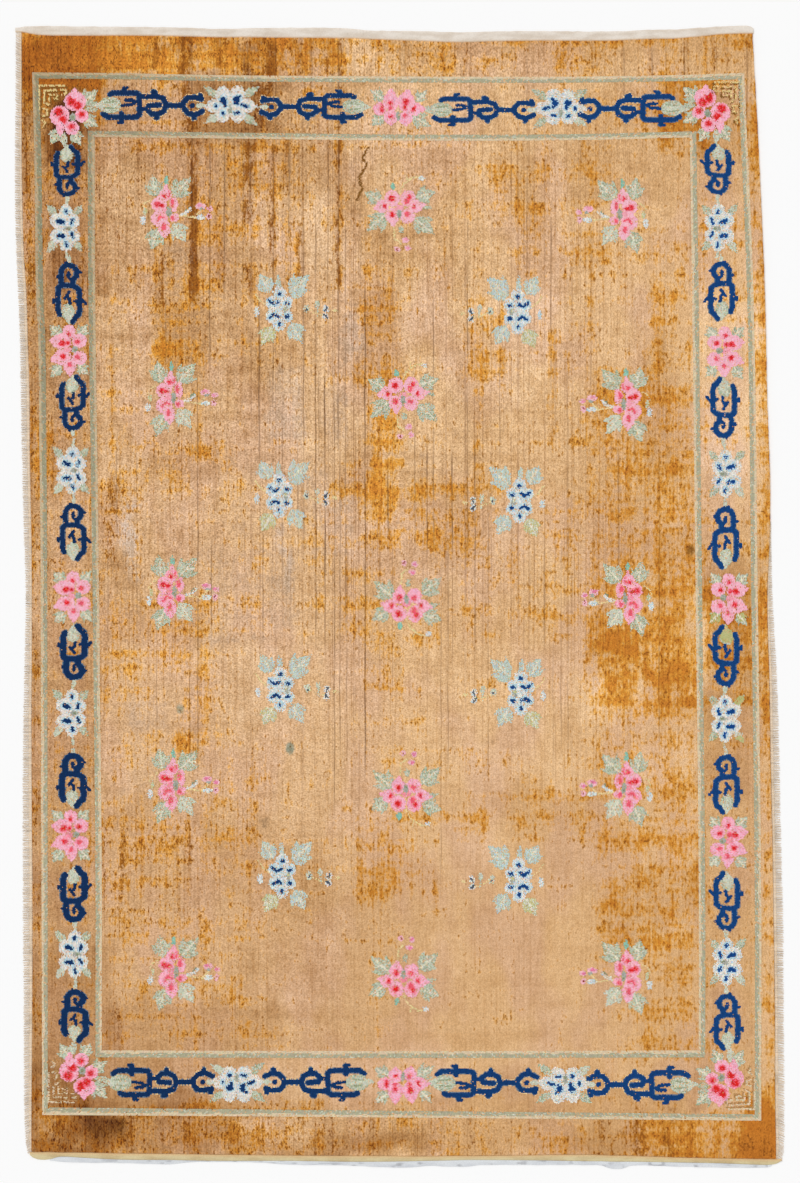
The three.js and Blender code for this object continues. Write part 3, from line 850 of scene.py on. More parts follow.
def ground_signals(tree, place):
    """All that the ground's colour is made from: noises, a chance for each knot, painted levels."""
    signals = {name: noise(tree, place, *row) for name, row in GROUND_NOISES.items()}
    signals["chance"] = knot_chance(tree, place, (KNOT, KNOT))
    signals["chance_two"] = knot_chance(tree, place, (KNOT, KNOT * 1.6), (17.3, 5.1, 0.0))
    signals["column"] = knot_chance(tree, place, (KNOT, 0.09), (3.7, 0.4, 0.0))
    for name, parts in PAINTED_LEVELS.items():
        signals.update(zip(parts, split(tree, attribute(tree, name).outputs["Vector"])))
    return signals


def tan_silk(tree, place, signals, tones):
    """The silk before its stains: warmer to the right, rosy in places."""
    across = add(tree, split(tree, place)[0], swing(tree, signals["haze"], 0.9))
    tan = blend_colour(tree, ramp(tree, across, -0.75, 0.45), tones["tan"], tones["warm_tan"])
    return blend_colour(tree, ramp(tree, signals["rosy"], 0.44, 0.62, 0.0, 0.7), tan, tones["rosy_tan"])


def stained(tree, place, signals):
    """Tan silk with its stains, the painted shade of its creases, worn places, flecks and drawn lines."""
    tones = {name: linear(*parts) for name, parts in GROUND_TONES.items()}
    mottle = swings(tree, signals, {"clouds": 2.1, "clots": 1.7})
    mottle = add(tree, mottle, swings(tree, signals, {"upright": 1.3, "crosswise": 2.3}))
    mottle = add(tree, mottle, swing(tree, signals["blots"], 1.9))
    drag = swing(tree, signals["streaks"], 0.7)
    grain = swings(tree, signals, {"chance_two": 0.10, "threads": 0.16})
    speckle = swings(tree, signals, {"chance_two": 0.46, "threads": 0.9})
    soaked = add(tree, signals["ochre"], add(tree, mottle, grain), drag)
    golden = blend_colour(tree, ramp(tree, soaked, 0.45, 1.45), tones["golden"], tones["deep_golden"])
    ochre = ramp(tree, soaked, 0.02, 0.96)
    slow_drag = times(tree, drag, 0.6)
    brown = add(tree, signals["brown"], slow_drag, times(tree, mottle, 0.42), speckle)
    dark = add(tree, signals["dark"], times(tree, grain, 1.6), times(tree, mottle, 0.35))
    pale = add(tree, signals["pale"], grain, slow_drag, times(tree, mottle, -0.4))
    grey = add(tree, signals["grey"], grain)

    colour = tan_silk(tree, place, signals, tones)
    for share, strength, tone in (
            (ramp(tree, pale, 0.25, 0.95), 0.70, tones["pale"]),
            (ochre, 0.94, golden),
            (ramp(tree, brown, 0.24, 0.92), 0.84, tones["brown"]),
            (ramp(tree, dark, 0.25, 0.95), 0.70, tones["dark"]),
            (ramp(tree, grey, 0.3, 0.7), 0.70, tones["grey"])):
        colour = blend_colour(tree, times(tree, share, strength), colour, tone)
    flecked = add(tree, swing(tree, signals["blots"], 1.6), signals["chance_two"])
    flecked = ramp(tree, add(tree, flecked, swing(tree, signals["clots"], 0.8)), 0.82, 1.05)
    fleck_share = add(tree, times(tree, ochre, 0.46), times(tree, signals["uneven"], 0.18))
    colour = blend_colour(tree, times(tree, flecked, fleck_share), colour, tones["fleck"])
    combed = combed_columns(tree, place, signals["combed"], signals["chance"])
    colour = blend_colour(tree, combed, colour, tones["combed"])
    return blend_colour(tree, drawn_lines(tree, place, signals["chance"]), colour, tones["line"])


def ground_light(tree, signals):
    """How light the pile is, in broad patches and knot by knot."""
    amount = calc(tree, "MULTIPLY_ADD", signals["uneven"], 1.05, 0.74)
    fine = swings(tree, signals, {"chance": 0.26, "threads": 0.42, "column": 0.06})
    fine = calc(tree, "MULTIPLY_ADD", fine, amount, 1.0)
    broad = swings(tree, signals, {
        "clouds": 0.30, "upright": 0.16, "crosswise": 0.30, "clots": 0.30, "blots": 0.28})
    drawn = ramp(tree, signals["streaks"], 0.50, 0.72, 0.01, -0.06)
    specks = ramp(tree, signals["blots"], 0.54, 0.74, 0.02, -0.14)
    broad = add(tree, broad, add(tree, drawn, specks))
    broad = calc(tree, "MULTIPLY_ADD", broad, amount, 1.0)
    broad = calc(tree, "SUBTRACT", broad, signals["shade"])
    return calc(tree, "MAXIMUM", broad, 0.15), calc(tree, "MAXIMUM", fine, 0.15)


def ground_material():
    """Worn tan silk: grainy knots, ochre and brown stains, drawn lines and pale worn places."""
    material, tree = new_material("worn_tan_silk")
    place = object_place(tree)
    signals = ground_signals(tree, place)
    colour = stained(tree, place, signals)
    broad, fine = ground_light(tree, signals)
    toned = vector_calc(tree, "MULTIPLY", colour, powers_of(tree, broad, (1.0, 1.45, 2.2)))
    lit = vector_calc(tree, "MULTIPLY", toned, powers_of(tree, fine, (1.0, 1.12, 1.3)))
    roughness = ramp(tree, signals["haze"], 0.3, 0.7, 0.56, 0.68)
    height = knot_relief(tree, place, signals["chance"], 0.5)
    finish_cloth(tree, lit, height, roughness, 0.18, 0.35, 0.0006)
    return material


def combed_columns(tree, place, amount, chance):
    """Strength of the many fine dark lines between knots, where the pile is combed thin."""
    pick = knot_chance(tree, place, (KNOT * 1.05, 4.0), (0.3, 0.5, 0.0))
    stretch = knot_chance(tree, place, (KNOT * 1.05, 0.21), (0.3, 0.1, 0.0))
    chosen = ramp(tree, add(tree, pick, swing(tree, stretch, 0.12)), 0.82, 0.97, 0.0, 0.46)
    broken = ramp(tree, noise(tree, place, (60, 8, 1), 3.0, (4.7, 1.3, 0)), 0.32, 0.62, 0.15, 1.0)
    strength = times(tree, times(tree, chosen, broken), amount)
    return times(tree, strength, ramp(tree, chance, 0.0, 0.5, 0.4, 1.0))


def drawn_lines(tree, place, chance):
    """Strength of the thin dark lines that run along the rug, each over its own stretch."""
    across, along, _ = split(tree, place)
    wobble = noise(tree, place, (0.0, 7.0, 0.0), 2.0, (0.3, 4.4, 0.0))
    across = add(tree, across, swing(tree, wobble, 3 * KNOT))
    broken = ramp(tree, noise(tree, place, (30, 10, 1), 3.0, (7.7, 0.3, 0)), 0.30, 0.56, 0.38, 1.0)
    total = 0.0
    for column, top, bottom, width, strength in LINES:
        line_x, line_top = chart_to_frame(column, top)
        line_bottom = chart_to_frame(column, bottom)[1]
        near = calc(tree, "COMPARE", across, line_x, width * KNOT * 0.48)
        above = ramp(tree, along, line_top - 0.04, line_top + 0.02, strength, 0.0)
        below = ramp(tree, along, line_bottom - 0.03, line_bottom + 0.09, 0.0, 1.0)
        total = calc(tree, "MAXIMUM", times(tree, near, times(tree, above, below)), total)
    grainy = times(tree, broken, ramp(tree, chance, 0.0, 0.55, 0.35, 1.0))
    return times(tree, times(tree, total, grainy), 0.86)


GROUND_COLUMNS = 372
GROUND_ROWS = 224
RIM_STEPS = (0.0, 0.0008, 0.0022, 0.0045)


def rim_spaced(count, length):
    """Even places from 0 to 1, with a few close together at each end for the rounded rim."""
    rim = np.array(RIM_STEPS) / length
    inner = np.linspace(rim[-1], 1 - rim[-1], count + 1 - 2 * (len(rim) - 1))
    return np.concatenate([rim[:-1], inner, 1 - rim[-2::-1]])


def knotted_ground():
    """The cloth: a grid drawn out to the rug's outline, with a rounded rim and a flat underside."""
    cloth = add_grid("knotted_ground", GROUND_COLUMNS, GROUND_ROWS)
    flat = corners_of(cloth)
    columns, rows = GROUND_COLUMNS, GROUND_ROWS
    i = np.rint((flat[:, 0] + 0.5) * columns).astype(int)
    j = np.rint((flat[:, 1] + 0.5) * rows).astype(int)
    u = rim_spaced(columns, 1.8)[i]
    v = rim_spaced(rows, 2.72)[j]
    x, y = (u - 0.5) * 1800, (v - 0.5) * 2720
    for _ in range(6):
        x = left_pile(y) * (1 - u) + right_pile(y) * u
        y = lower_pile(x) * (1 - v) + upper_pile(x) * v
    x, y = x * MM, y * MM
    steps = np.minimum(np.minimum(i, columns - i), np.minimum(j, rows - j))
    drop = np.interp(steps, (0, 1, 2, 3), (1.0, 0.42, 0.1, 0.0)) * RIM_DROP
    ragged = (smooth_noise(x / KNOT, y / KNOT, 2.5, 77) - 0.5) * 0.0012 * (steps == 0)
    move_corners(cloth, np.stack([x + ragged, y + ragged, cloth_height(x, y) - drop], 1))

    chart_x = x / KNOT + CHART_MIDDLE[0]
    chart_y = CHART_MIDDLE[1] - y / KNOT
    levels = stain_levels(chart_x, chart_y)
    levels["combed"] = combed_thin(chart_x, chart_y)
    levels["uneven"] = unevenness(chart_x, chart_y)
    levels["nothing"] = np.zeros(len(chart_x))
    for name, parts in PAINTED_LEVELS.items():
        layer = cloth.data.attributes.new(name, "FLOAT_VECTOR", "POINT")
        painted = np.stack([levels[part] for part in parts], 1)
        layer.data.foreach_set("vector", painted.astype(np.float32).ravel())

    drop_walls(cloth, 0.0028)
    close_underside(cloth)
    places = corners_of(cloth)[loop_corners(cloth)]
    flat_map = np.stack([places[:, 0] / 1.86 + 0.5, places[:, 1] / 2.86 + 0.495], 1)
    under = np.repeat(
        np.array([len(f.vertices) > 4 for f in cloth.data.polygons]),
        np.array([len(f.vertices) for f in cloth.data.polygons]),
    )
    flat_map[under] = flat_map[under] * 0.012 + (0.0, 0.985)
    set_bake_map(cloth, flat_map)
    cloth.data.materials.append(ground_material())
    return cloth


# Charting the pattern


def dot_reach(x, y, mid_x, mid_y, across, along):
    """Distance outside an oval, in knots."""
    return (np.hypot((x - mid_x) / across, (y - mid_y) / along) - 1) * min(across, along)


def blade_reach(x, y, from_x, from_y, to_x, to_y, width):
    """Distance outside a leaf blade, pointed at both ends and widest before its middle."""
    dx, dy = to_x - from_x, to_y - from_y
    length = math.hypot(dx, dy)
    t = ((x - from_x) * dx + (y - from_y) * dy) / length ** 2
    side = np.abs((x - from_x) * dy - (y - from_y) * dx) / length
    half = width / 2 * np.sin(np.pi * np.clip(t, 0, 1) ** 0.8)
    past = np.maximum(np.maximum(-t, t - 1), 0) * length
    return np.where(past > 0, np.hypot(side, past), side - half)


def line_reach(x, y, width, *points):
    """Distance outside a line drawn through points."""
    nearest = np.full(x.shape, 1e9)
    for (ax, ay), (bx, by) in zip(points, points[1:]):
        dx, dy = bx - ax, by - ay
        t = ((x - ax) * dx + (y - ay) * dy) / max(dx * dx + dy * dy, 1e-9)
        t = np.clip(t, 0, 1)
        nearest = np.minimum(nearest, np.hypot(x - ax - t * dx, y - ay - t * dy))
    return nearest - width / 2


REACH = {"dot": dot_reach, "blade": blade_reach, "line": line_reach}


def veined_leaf(from_x, from_y, to_x, to_y, width, dye="leaf"):
    """A lobed leaf with a paler vein."""
    dx, dy = to_x - from_x, to_y - from_y

    def spot(along, aside=0.0):
        return from_x + dx * along - dy * aside, from_y + dy * along + dx * aside

    return [
        *[("blade", dye, *spot(0.08), *spot(0.62, lobe), width * 0.55) for lobe in (0.42, -0.42)],
        ("blade", dye, from_x, from_y, to_x, to_y, width),
        ("line", "vein", 1.5, spot(0.12), spot(0.8)),
        ("line", "vein", 1.1, spot(0.4), spot(0.62, 0.22)),
    ]


def floret(x, y, across, along, hearts=()):
    """One pink floret: a pale rim, a deeper middle and its red hearts."""
    shapes = [("dot", "rose_rim", x, y, across, along)]
    for heart_x, heart_y, heart_across, heart_along, dye in hearts:
        shapes.append(("dot", "rose", heart_x, heart_y, heart_across + 2.2, heart_along + 2.2))
    for heart_x, heart_y, heart_across, heart_along, dye in hearts:
        shapes.append(("dot", "deep_rose", heart_x, heart_y, heart_across + 0.9, heart_along + 0.9))
        shapes.append(("dot", dye, heart_x, heart_y, heart_across, heart_along))
    return shapes


def pale_bloom(x, y, across, along, marks, dye="petal_white"):
    """One white petal with the pale blue rings of its dark blue marks."""
    shapes = [("dot", dye, x, y, across, along)]
    for kind, *mark in marks:
        if kind == "line":
            width, *points = mark
            shapes.append(("line", "petal_blue", width + 2.6, *points))
        else:
            mark_x, mark_y, mark_across, mark_along = mark
            shapes.append(("dot", "petal_blue", mark_x, mark_y, mark_across + 1.5, mark_along + 1.5))
    return shapes


def blue_marks(marks):
    """The dark blue marks themselves, drawn last."""
    return [(kind, "ink", *mark) for kind, *mark in marks]


def pink_side_spray():
    """The pink spray of the field's outer columns, its buds to the right."""
    return [
        *veined_leaf(-10.5, -15, -13.5, -37, 13.5),
        ("blade", "teal", 0.6, -26, 0.4, -37, 4.4),
        *veined_leaf(7, -15, 25, -34.5, 13.5),
        ("blade", "leaf", 9, -16, 24.5, -18.5, 6),
        *veined_leaf(-7, 16, -15, 38.5, 13),
        *veined_leaf(7, 11, 20.5, 30.5, 12, "leaf_pale"),
        ("dot", "faded_white", -23, 8.5, 2.8, 4.6), ("dot", "leaf_yellow", -20.5, 0, 1.8, 3.6),
        ("line", "stem", 1.1, (-23.4, -4), (-21.5, -8.5), (-15.5, -12)),
        ("line", "stem", 1.6, (13, 3.4), (28, 5.6), (33, 1.4), (36, -3)),
        ("line", "stem", 1.4, (28, 5.6), (36, 7.6)),
        ("dot", "faded_white", 35, 5.4, 4.8, 2.6),
        ("line", "petal_white", 3.0, (15, 2.6), (20, 1.2), (24.4, -2.8)),
        ("line", "moss", 1.2, (19.6, -1.2), (22.6, -4.2)),
        ("dot", "bud_pale", 34.4, -5.6, 5.0, 3.2), ("dot", "bud", 33.6, -6.6, 2.6, 1.6),
        ("dot", "grey", 36, -2.8, 2.2, 1.4),
        ("dot", "bud_pale", 43.8, -2.8, 3.2, 2.7), ("dot", "bud", 43, -2.8, 1.8, 1.7),
        ("dot", "bud_pale", 43.2, 5, 2.6, 3.2), ("dot", "wine", 43, 4.4, 0.9, 1.4),
        *floret(-0.6, -16.6, 6.2, 6.4, [(-1.6, -15.4, 1.2, 1.4, "red"), (1.6, -17.6, 1.4, 2.6, "rose")]),
        ("blade", "rose_rim", 0, -18, 0.4, -28, 5),
        *floret(8.4, -7.4, 3.8, 7.8, [(6.6, -8.6, 0.8, 2.6, "deep_rose")]),
        *floret(8.6, 5.6, 4.8, 4.2, [(6.8, 6.4, 0.9, 1.2, "deep_rose")]),
        *floret(-6.8, -7.6, 7.6, 7.8, [(-8.8, -7.2, 2.2, 2.0, "red"), (-4.6, -6.2, 2.4, 1.2, "red")]),
        *floret(-6.4, 7.2, 8.4, 8.2),
        ("line", "rose", 4.6, (-8.4, 8.6), (-5.6, 4.0), (-1.6, 6.4)),
        ("line", "deep_rose", 2.0, (-8.4, 8.8), (-5.6, 4.4), (-1.8, 6.0)),
        *floret(-1.6, 16.2, 6.0, 8.4, [(-2.1, 15.2, 1.1, 2.6, "deep_rose")]),
        ("blade", "rose_rim", -1.4, 18, -0.8, 27, 6),
        ("dot", "rose", -2, -0.4, 3.4, 3.0),
        ("dot", "grey", 2.8, 0.0, 2.5, 5.4), ("dot", "moss", 3.2, 2.2, 1.2, 1.6),
    ]


def pink_middle_spray():
    """The pink spray of the field's middle column, its buds below."""
    return [
        *veined_leaf(-20, -8, -37, -18, 12),
        ("blade", "teal", -8, -20, -9.4, -28, 5.5),
        *veined_leaf(14, -12, 34, -18, 12),
        ("blade", "leaf", 15, -6, 31, -1.4, 6),
        *veined_leaf(-15, 4, -35, 21.5, 12),
        *veined_leaf(13, 8, 32.5, 24.5, 13),
        ("dot", "leaf", -0.6, 19.5, 2.8, 3.6),
        ("line", "stem", 1.5, (-2.4, -17), (2.2, -26.2), (12, -32.5), (19, -33)),
        ("line", "stem", 1.3, (6, -29), (4.6, -34)),
        ("dot", "faded_white", 20, -31.4, 3.0, 2.2),
        ("line", "stem", 1.6, (-8.1, 15), (-7, 29), (-0.7, 33.4)),
        ("dot", "bud_pale", 3.9, 30, 3.4, 2.8), ("dot", "bud", 4.4, 29.6, 1.8, 1.6),
        ("dot", "bud_pale", 6.2, 38, 3.0, 3.0), ("dot", "bud", 6.2, 38.2, 1.6, 1.6),
        ("dot", "bud_pale", -4.7, 39.2, 3.0, 2.8), ("dot", "wine", -4.4, 39.4, 1.0, 1.2),
        *floret(-19, -3.6, 6.4, 6.6, [(-17, -3.3, 1.2, 1.6, "red")]),
        ("blade", "rose_rim", -19, -3.6, -29, -1.0, 6),
        *floret(14, -3.4, 6.8, 6.6, [(12.5, -3.3, 1.1, 1.6, "red")]),
        ("blade", "rose_rim", 14, -3.6, 25, -5.0, 6),
        *floret(-9.4, -11.3, 7.6, 8.0, [(-9.9, -11.3, 2.3, 2.4, "red")]),
        *floret(6.4, -11.4, 7.6, 8.2, [(7.6, -12.4, 1.6, 1.8, "red"), (5.2, -8.4, 1.8, 2.2, "deep_rose")]),
        *floret(-9.3, 6.0, 7.0, 7.6, [(-9.3, 4.8, 1.6, 2.4, "red")]),
        ("blade", "rose_rim", -9.3, 8, -8.1, 18, 6),
        *floret(5.8, 6.4, 7.4, 7.4, [(5.6, 4.6, 1.6, 1.4, "deep_rose")]),
        ("dot", "rose", -2.0, -1.8, 4.4, 3.0),
        ("dot", "grey", -2.2, 3.6, 2.6, 4.6), ("dot", "moss", -2.0, 5.4, 1.2, 1.4),
    ]


PALE_SPRAY_MARKS = [
    ("dot", -0.6, -8.8, 2.1, 2.0), ("line", 3.0, (-9.6, -1.2), (-6.0, 1.4), (-1.8, -0.8)),
    ("line", 1.6, (-11.4, -3.2), (-9.6, -1.0)),
    ("dot", 7.2, 0.2, 2.4, 1.9), ("line", 3.0, (-9.6, 14.2), (-4.9, 11.4), (-1.6, 13.8)),
    ("dot", 7.2, 13.4, 2.4, 2.0), ("dot", -0.9, 21.4, 1.6, 2.2),
]


def pale_spray():
    """The white spray of the field with dark blue marks, its buds to the right."""
    marks = PALE_SPRAY_MARKS
    return [
        *veined_leaf(-10, -10.5, -20.5, -29, 13.5, "leaf_blue"),
        ("blade", "leaf_blue", -1, -12, -2, -29, 5.5),
        *veined_leaf(9, -10, 30, -28, 14, "leaf_blue"), ("blade", "leaf_blue", 10, -8, 24, -8, 7),
        *veined_leaf(-8, 24, -18, 42, 13, "leaf_yellow"),
        *veined_leaf(11, 20, 22, 40, 13, "leaf_blue"),
        ("dot", "leaf_pale", 26.4, 5.6, 3.0, 4.0), ("dot", "slate", 26.8, 6.4, 0.9, 1.2),
        ("dot", "leaf_pale", 37.2, 2.6, 2.5, 3.8), ("line", "leaf_pale", 1.4, (37.6, 6), (38, 13)),
        ("dot", "petal_white", 46, 6.0, 3.2, 3.8), ("dot", "petal_white", 45.8, 13.4, 3.2, 3.4),
        ("dot", "stem", 54.5, 8, 2.4, 1.6), ("line", "stem", 1.1, (29, 7), (39, 12), (44, 11.4)),
        ("line", "stem", 1.4, (-14, 2), (-20, -2), (-25, -9)), ("dot", "faded_white", -23, 9, 2.4, 5.0),
        ("dot", "faded_white", -1.0, 6.0, 10.4, 14.4),
        *pale_bloom(-0.6, -9.8, 6.6, 6.4, marks[:1], "faded_white"),
        *pale_bloom(-7.4, 0.2, 6.9, 6.9, marks[1:3], "faded_white"),
        *pale_bloom(7.0, -0.6, 6.0, 6.2, marks[3:4], "faded_white"),
        *pale_bloom(-7.0, 13.4, 7.0, 6.8, marks[4:5], "faded_white"),
        *pale_bloom(7.2, 13.6, 6.0, 6.2, marks[5:6], "faded_white"),
        *pale_bloom(-0.6, 21.8, 6.6, 6.8, marks[6:], "faded_white"),
        ("dot", "grey", 5.6, 6.8, 2.2, 4.0), ("dot", "leaf_yellow", 5.0, 5.2, 1.2, 1.8),
        *blue_marks(marks),
        ("line", "slate", 1.9, (46.8, 4.6), (45.2, 8.0)),
        ("line", "slate", 2.1, (44.2, 11.6), (46.6, 14.4)),
    ]


END_BLOOM_MARKS = [
    ("dot", -8.2, -5.0, 3.4, 3.2), ("line", 3.2, (-7.0, -3.0), (-6.4, 0.4)),
    ("dot", 4.8, -5.4, 3.2, 3.2), ("line", 2.6, (3.6, -2.8), (6.6, -1.4)),
    ("line", 2.4, (5.2, -7.6), (8.4, -9.4)),
    ("dot", -15.4, 0.4, 1.5, 2.0), ("line", 3.1, (10.6, -0.6), (15.6, 1.0)),
    ("dot", -8.4, 7.8, 2.2, 2.0), ("line", 2.8, (3.8, 7.8), (7.2, 7.0)),
]


def white_end_flower():
    """The white flower of the end borders, its large marks to the outside."""
    marks = END_BLOOM_MARKS
    return [
        ("blade", "leaf", -13, -9, -28, -19, 8), ("blade", "leaf", 12, -9, 28, -19, 8),
        ("blade", "leaf_pale", -12, 9, -27, 18, 8), ("blade", "leaf", 12, 9, 26, 20, 8),
        ("dot", "petal_white", -8.4, -9.4, 7.4, 9.6), ("dot", "petal_white", 6, -9.8, 8.0, 9.8),
        ("dot", "petal_white", -17, 0.4, 7.4, 7.0), ("dot", "petal_white", 16, 0.4, 7.8, 7.2),
        ("blade", "petal_white", -16, 0.6, -28, 1.6, 7), ("blade", "petal_white", 15, 0.6, 27, 1.6, 7),
        ("dot", "petal_white", -8.8, 9.0, 7.4, 7.6), ("dot", "petal_white", 6.2, 8.8, 7.6, 8.0),
        ("dot", "petal_white", -1, -1, 15, 11.5),
        *pale_bloom(-7.6, -3.0, 4.6, 5.6, marks[:2]), *pale_bloom(5.6, -4.4, 4.6, 5.2, marks[2:5]),
        *pale_bloom(-15.4, 0.4, 2.6, 3.0, marks[5:6]), *pale_bloom(13.4, 0.2, 3.0, 2.6, marks[6:7]),
        *pale_bloom(-8.4, 7.8, 3.4, 3.2, marks[7:8]), *pale_bloom(5.6, 7.4, 3.6, 3.0, marks[8:]),
        ("dot", "grey", -1.2, 4.6, 2.2, 4.8), ("dot", "moss", -1.0, 6.6, 1.0, 1.4),
        *blue_marks(marks),
    ]


SIDE_BLOOM_MARKS = [
    ("dot", 1.6, -15.4, 1.8, 2.2), ("line", 4.4, (-6.0, -6.6), (-2.6, -5.4)), ("dot", -1.2, -4.6, 1.8, 1.6),
    ("line", 2.8, (8.4, -8.0), (7.0, -3.8)), ("line", 4.4, (-6.0, 8.8), (-2.2, 8.6)),
    ("dot", -1.0, 9.8, 1.8, 1.8), ("line", 2.8, (7.2, 6.0), (8.8, 9.6)),
    ("line", 2.8, (1.6, 16.0), (2.6, 19.0)),
]


def white_side_flower():
    """The white flower of the side borders, its large marks to the left."""
    marks = SIDE_BLOOM_MARKS
    return [
        ("blade", "leaf", -8, -12, -18, -23, 8), ("blade", "leaf", 9, -12, 18, -22, 7.5),
        ("blade", "leaf_pale", -8, 13, -17, 25, 8), ("blade", "leaf", 9, 13, 18, 24, 7.5),
        ("line", "leaf_pale", 2.4, (1.8, -20), (3.0, -30)),
        ("line", "leaf_pale", 2.4, (1.8, 22), (3.0, 31)),
        ("dot", "petal_white", 1.6, -15.6, 6.8, 7.4), ("dot", "petal_white", 1.8, 16.6, 6.8, 7.8),
        ("dot", "petal_white", -6.8, -6.6, 7.6, 7.4), ("dot", "petal_white", 8.6, -6.2, 6.8, 7.2),
        ("dot", "petal_white", -6.6, 8.6, 7.6, 7.4), ("dot", "petal_white", 8.6, 8.2, 6.8, 7.2),
        ("dot", "petal_white", 1.0, 1, 10, 13),
        *pale_bloom(1.6, -15.2, 3.2, 3.4, marks[:1]), *pale_bloom(-4.2, -6, 4.8, 3.6, marks[1:3]),
        *pale_bloom(7.8, -6, 3.2, 3.8, marks[3:4]), *pale_bloom(-4, 8.8, 4.8, 3.6, marks[4:6]),
        *pale_bloom(8, 8, 3.2, 3.6, marks[6:7]), *pale_bloom(2, 17, 3.0, 3.4, marks[7:]),
        ("dot", "grey", 3.6, 1.0, 4.0, 2.4), ("dot", "moss", 4.8, 1.0, 1.4, 1.2),
        *blue_marks(marks),
    ]


def pink_end_flower():
    """The pink flower of the end borders, its strong hearts to the outside."""
    return [
        *veined_leaf(-14, -8, -28, -18, 8), *veined_leaf(-14, 9, -28, 17.5, 9),
        *veined_leaf(18, -6, 29, -18, 7), *veined_leaf(14, 8, 33, 19, 9),
        ("blade", "leaf", 26, 1, 38, 1.8, 6),
        *floret(-18.2, 1.0, 6.8, 6.4, [(-16, 0.8, 0.9, 3.0, "red")]),
        *floret(16.8, 1.2, 7.0, 6.6, [(16.2, 1.2, 1.9, 2.0, "red")]),
        ("blade", "rose_rim", 17, 1.2, 29, 1.6, 7),
        *floret(-7.2, -6.0, 7.6, 9.4, [(-7.6, -4.4, 1.1, 1.5, "red"), (-7.2, 0.6, 0.9, 1.8, "deep_rose")]),
        ("blade", "rose_rim", -7.2, -9, -7.2, -20, 8),
        *floret(8.2, -5.6, 8.2, 9.6, [(8.0, -6.0, 2.0, 2.4, "red"), (6.8, -0.6, 0.8, 2.2, "red")]),
        ("blade", "rose_rim", 8.8, -9, 9.6, -19, 9),
        *floret(-7.2, 9.2, 7.2, 7.0, [(-7.0, 9.0, 1.2, 1.0, "red")]),
        ("blade", "rose_rim", -7.2, 10, -7.0, 18.6, 8),
        *floret(7.4, 10.4, 6.8, 6.8, [(7.0, 8.2, 0.9, 0.8, "deep_rose")]),
        ("blade", "rose_rim", 7.6, 11, 8.4, 19, 7),
        ("dot", "grey", 0.4, 8.0, 2.0, 4.4), ("dot", "moss", 0.6, 9.6, 1.0, 1.4),
    ]


def pink_side_flower():
    """The pink flower of the side borders, its strong hearts to the left."""
    return [
        *veined_leaf(-8, -14, -19, -25, 9), *veined_leaf(9, -14, 19, -26, 8),
        *veined_leaf(-8, 15, -18, 27, 9), *veined_leaf(9, 14, 20, 25, 8),
        *floret(0.4, -18.4, 6.6, 6.8, [(-0.2, -16, 1.2, 1.4, "red")]),
        *floret(0.9, 15.8, 6.4, 7.2, [(0.9, 14.4, 1.0, 1.6, "deep_rose")]),
        ("blade", "rose_rim", 0.9, 17, 1.4, 26.5, 7),
        *floret(-7.6, -8.8, 9.4, 7.6, [(-6.7, -7.1, 2.9, 2.1, "red"), (-1.1, -7.1, 1.3, 1.3, "red")]),
        ("blade", "rose_rim", -9, -9, -20, -9.8, 8),
        *floret(-6.4, 6.9, 9.0, 7.6, [(-6.0, 6.3, 2.2, 1.8, "red")]),
        ("blade", "rose_rim", -8, 7, -19.5, 11, 8),
        *floret(10.6, -9.4, 7.4, 7.0, [(8.5, -8.5, 1.6, 1.3, "red")]),
        *floret(10.8, 7.6, 7.4, 7.0, [(8.7, 6.8, 1.5, 1.2, "deep_rose")]),
        ("dot", "rose", -1, -0.6, 4, 3),
        ("dot", "grey", 5.8, -1.0, 3.2, 3.2), ("dot", "moss", 6.4, -0.4, 1.4, 1.2),
    ]


def corner_cluster():
    """The pink cluster of the upper left corner."""
    return [
        *veined_leaf(12, -8, 29, -23, 11), ("blade", "leaf", 16, -4, 30, -3, 6),
        *veined_leaf(13, 4, 29, 14, 9), *veined_leaf(-8, 16, -19, 32, 10),
        ("blade", "leaf_pale", -5, 20, -5, 36, 6), *veined_leaf(4, 18, 12, 33, 9),
        *floret(6.0, -11.4, 11.0, 9.6, [(2.4, -11.6, 3.2, 4.4, "red"), (8.4, -7.0, 3.4, 3.2, "red")]),
        ("blade", "rose_rim", 4, -14, 6, -25, 8),
        *floret(-9.4, 3.4, 9.8, 10.0, [(-10.6, -0.6, 3.6, 3.4, "red"), (-6.4, 7.6, 3.2, 3.6, "red")]),
        ("blade", "rose_rim", -9, 8, -8.8, 24, 9),
        *floret(12.4, 3.0, 6.8, 6.6, [(12.3, 1.8, 2.4, 2.2, "red")]),
        *floret(2.6, 15.2, 7.4, 7.0, [(2.4, 14.0, 2.4, 2.0, "red")]),
        ("dot", "grey", 3.4, 4.4, 3.4, 3.8), ("dot", "moss", 3.6, 4.6, 1.6, 1.8),
    ]


def corner_fretwork(light, dark):
    """Thin curls drawn outside a corner's cluster, a light line with a dark one beside it."""
    curls = [
        ((-30, -27), (-4, -27)), ((-30, -26), (-30, 2)), ((-25, -22), (-12, -22.6)),
        ((-25, -22), (-25, -10), (-20, -8)), ((-20, -18), (-12, -18), (-12, -14), (-16, -14)),
        ((-20, -16), (-20, -12)), ((-8, -23), (-3, -23), (-3, -19), (-7, -18)),
        ((-26, -4), (-22, -3), (-22, 2), (-26, 3)), ((-27, 8), (-24, 10), (-26, 14)),
    ]
    shaded = [tuple((x + 1.6, y + 1.6) for x, y in points) for points in curls]
    return [
        *[("line", dark, 2.0, *points) for points in shaded],
        *[("line", light, 1.7, *points) for points in curls],
    ]


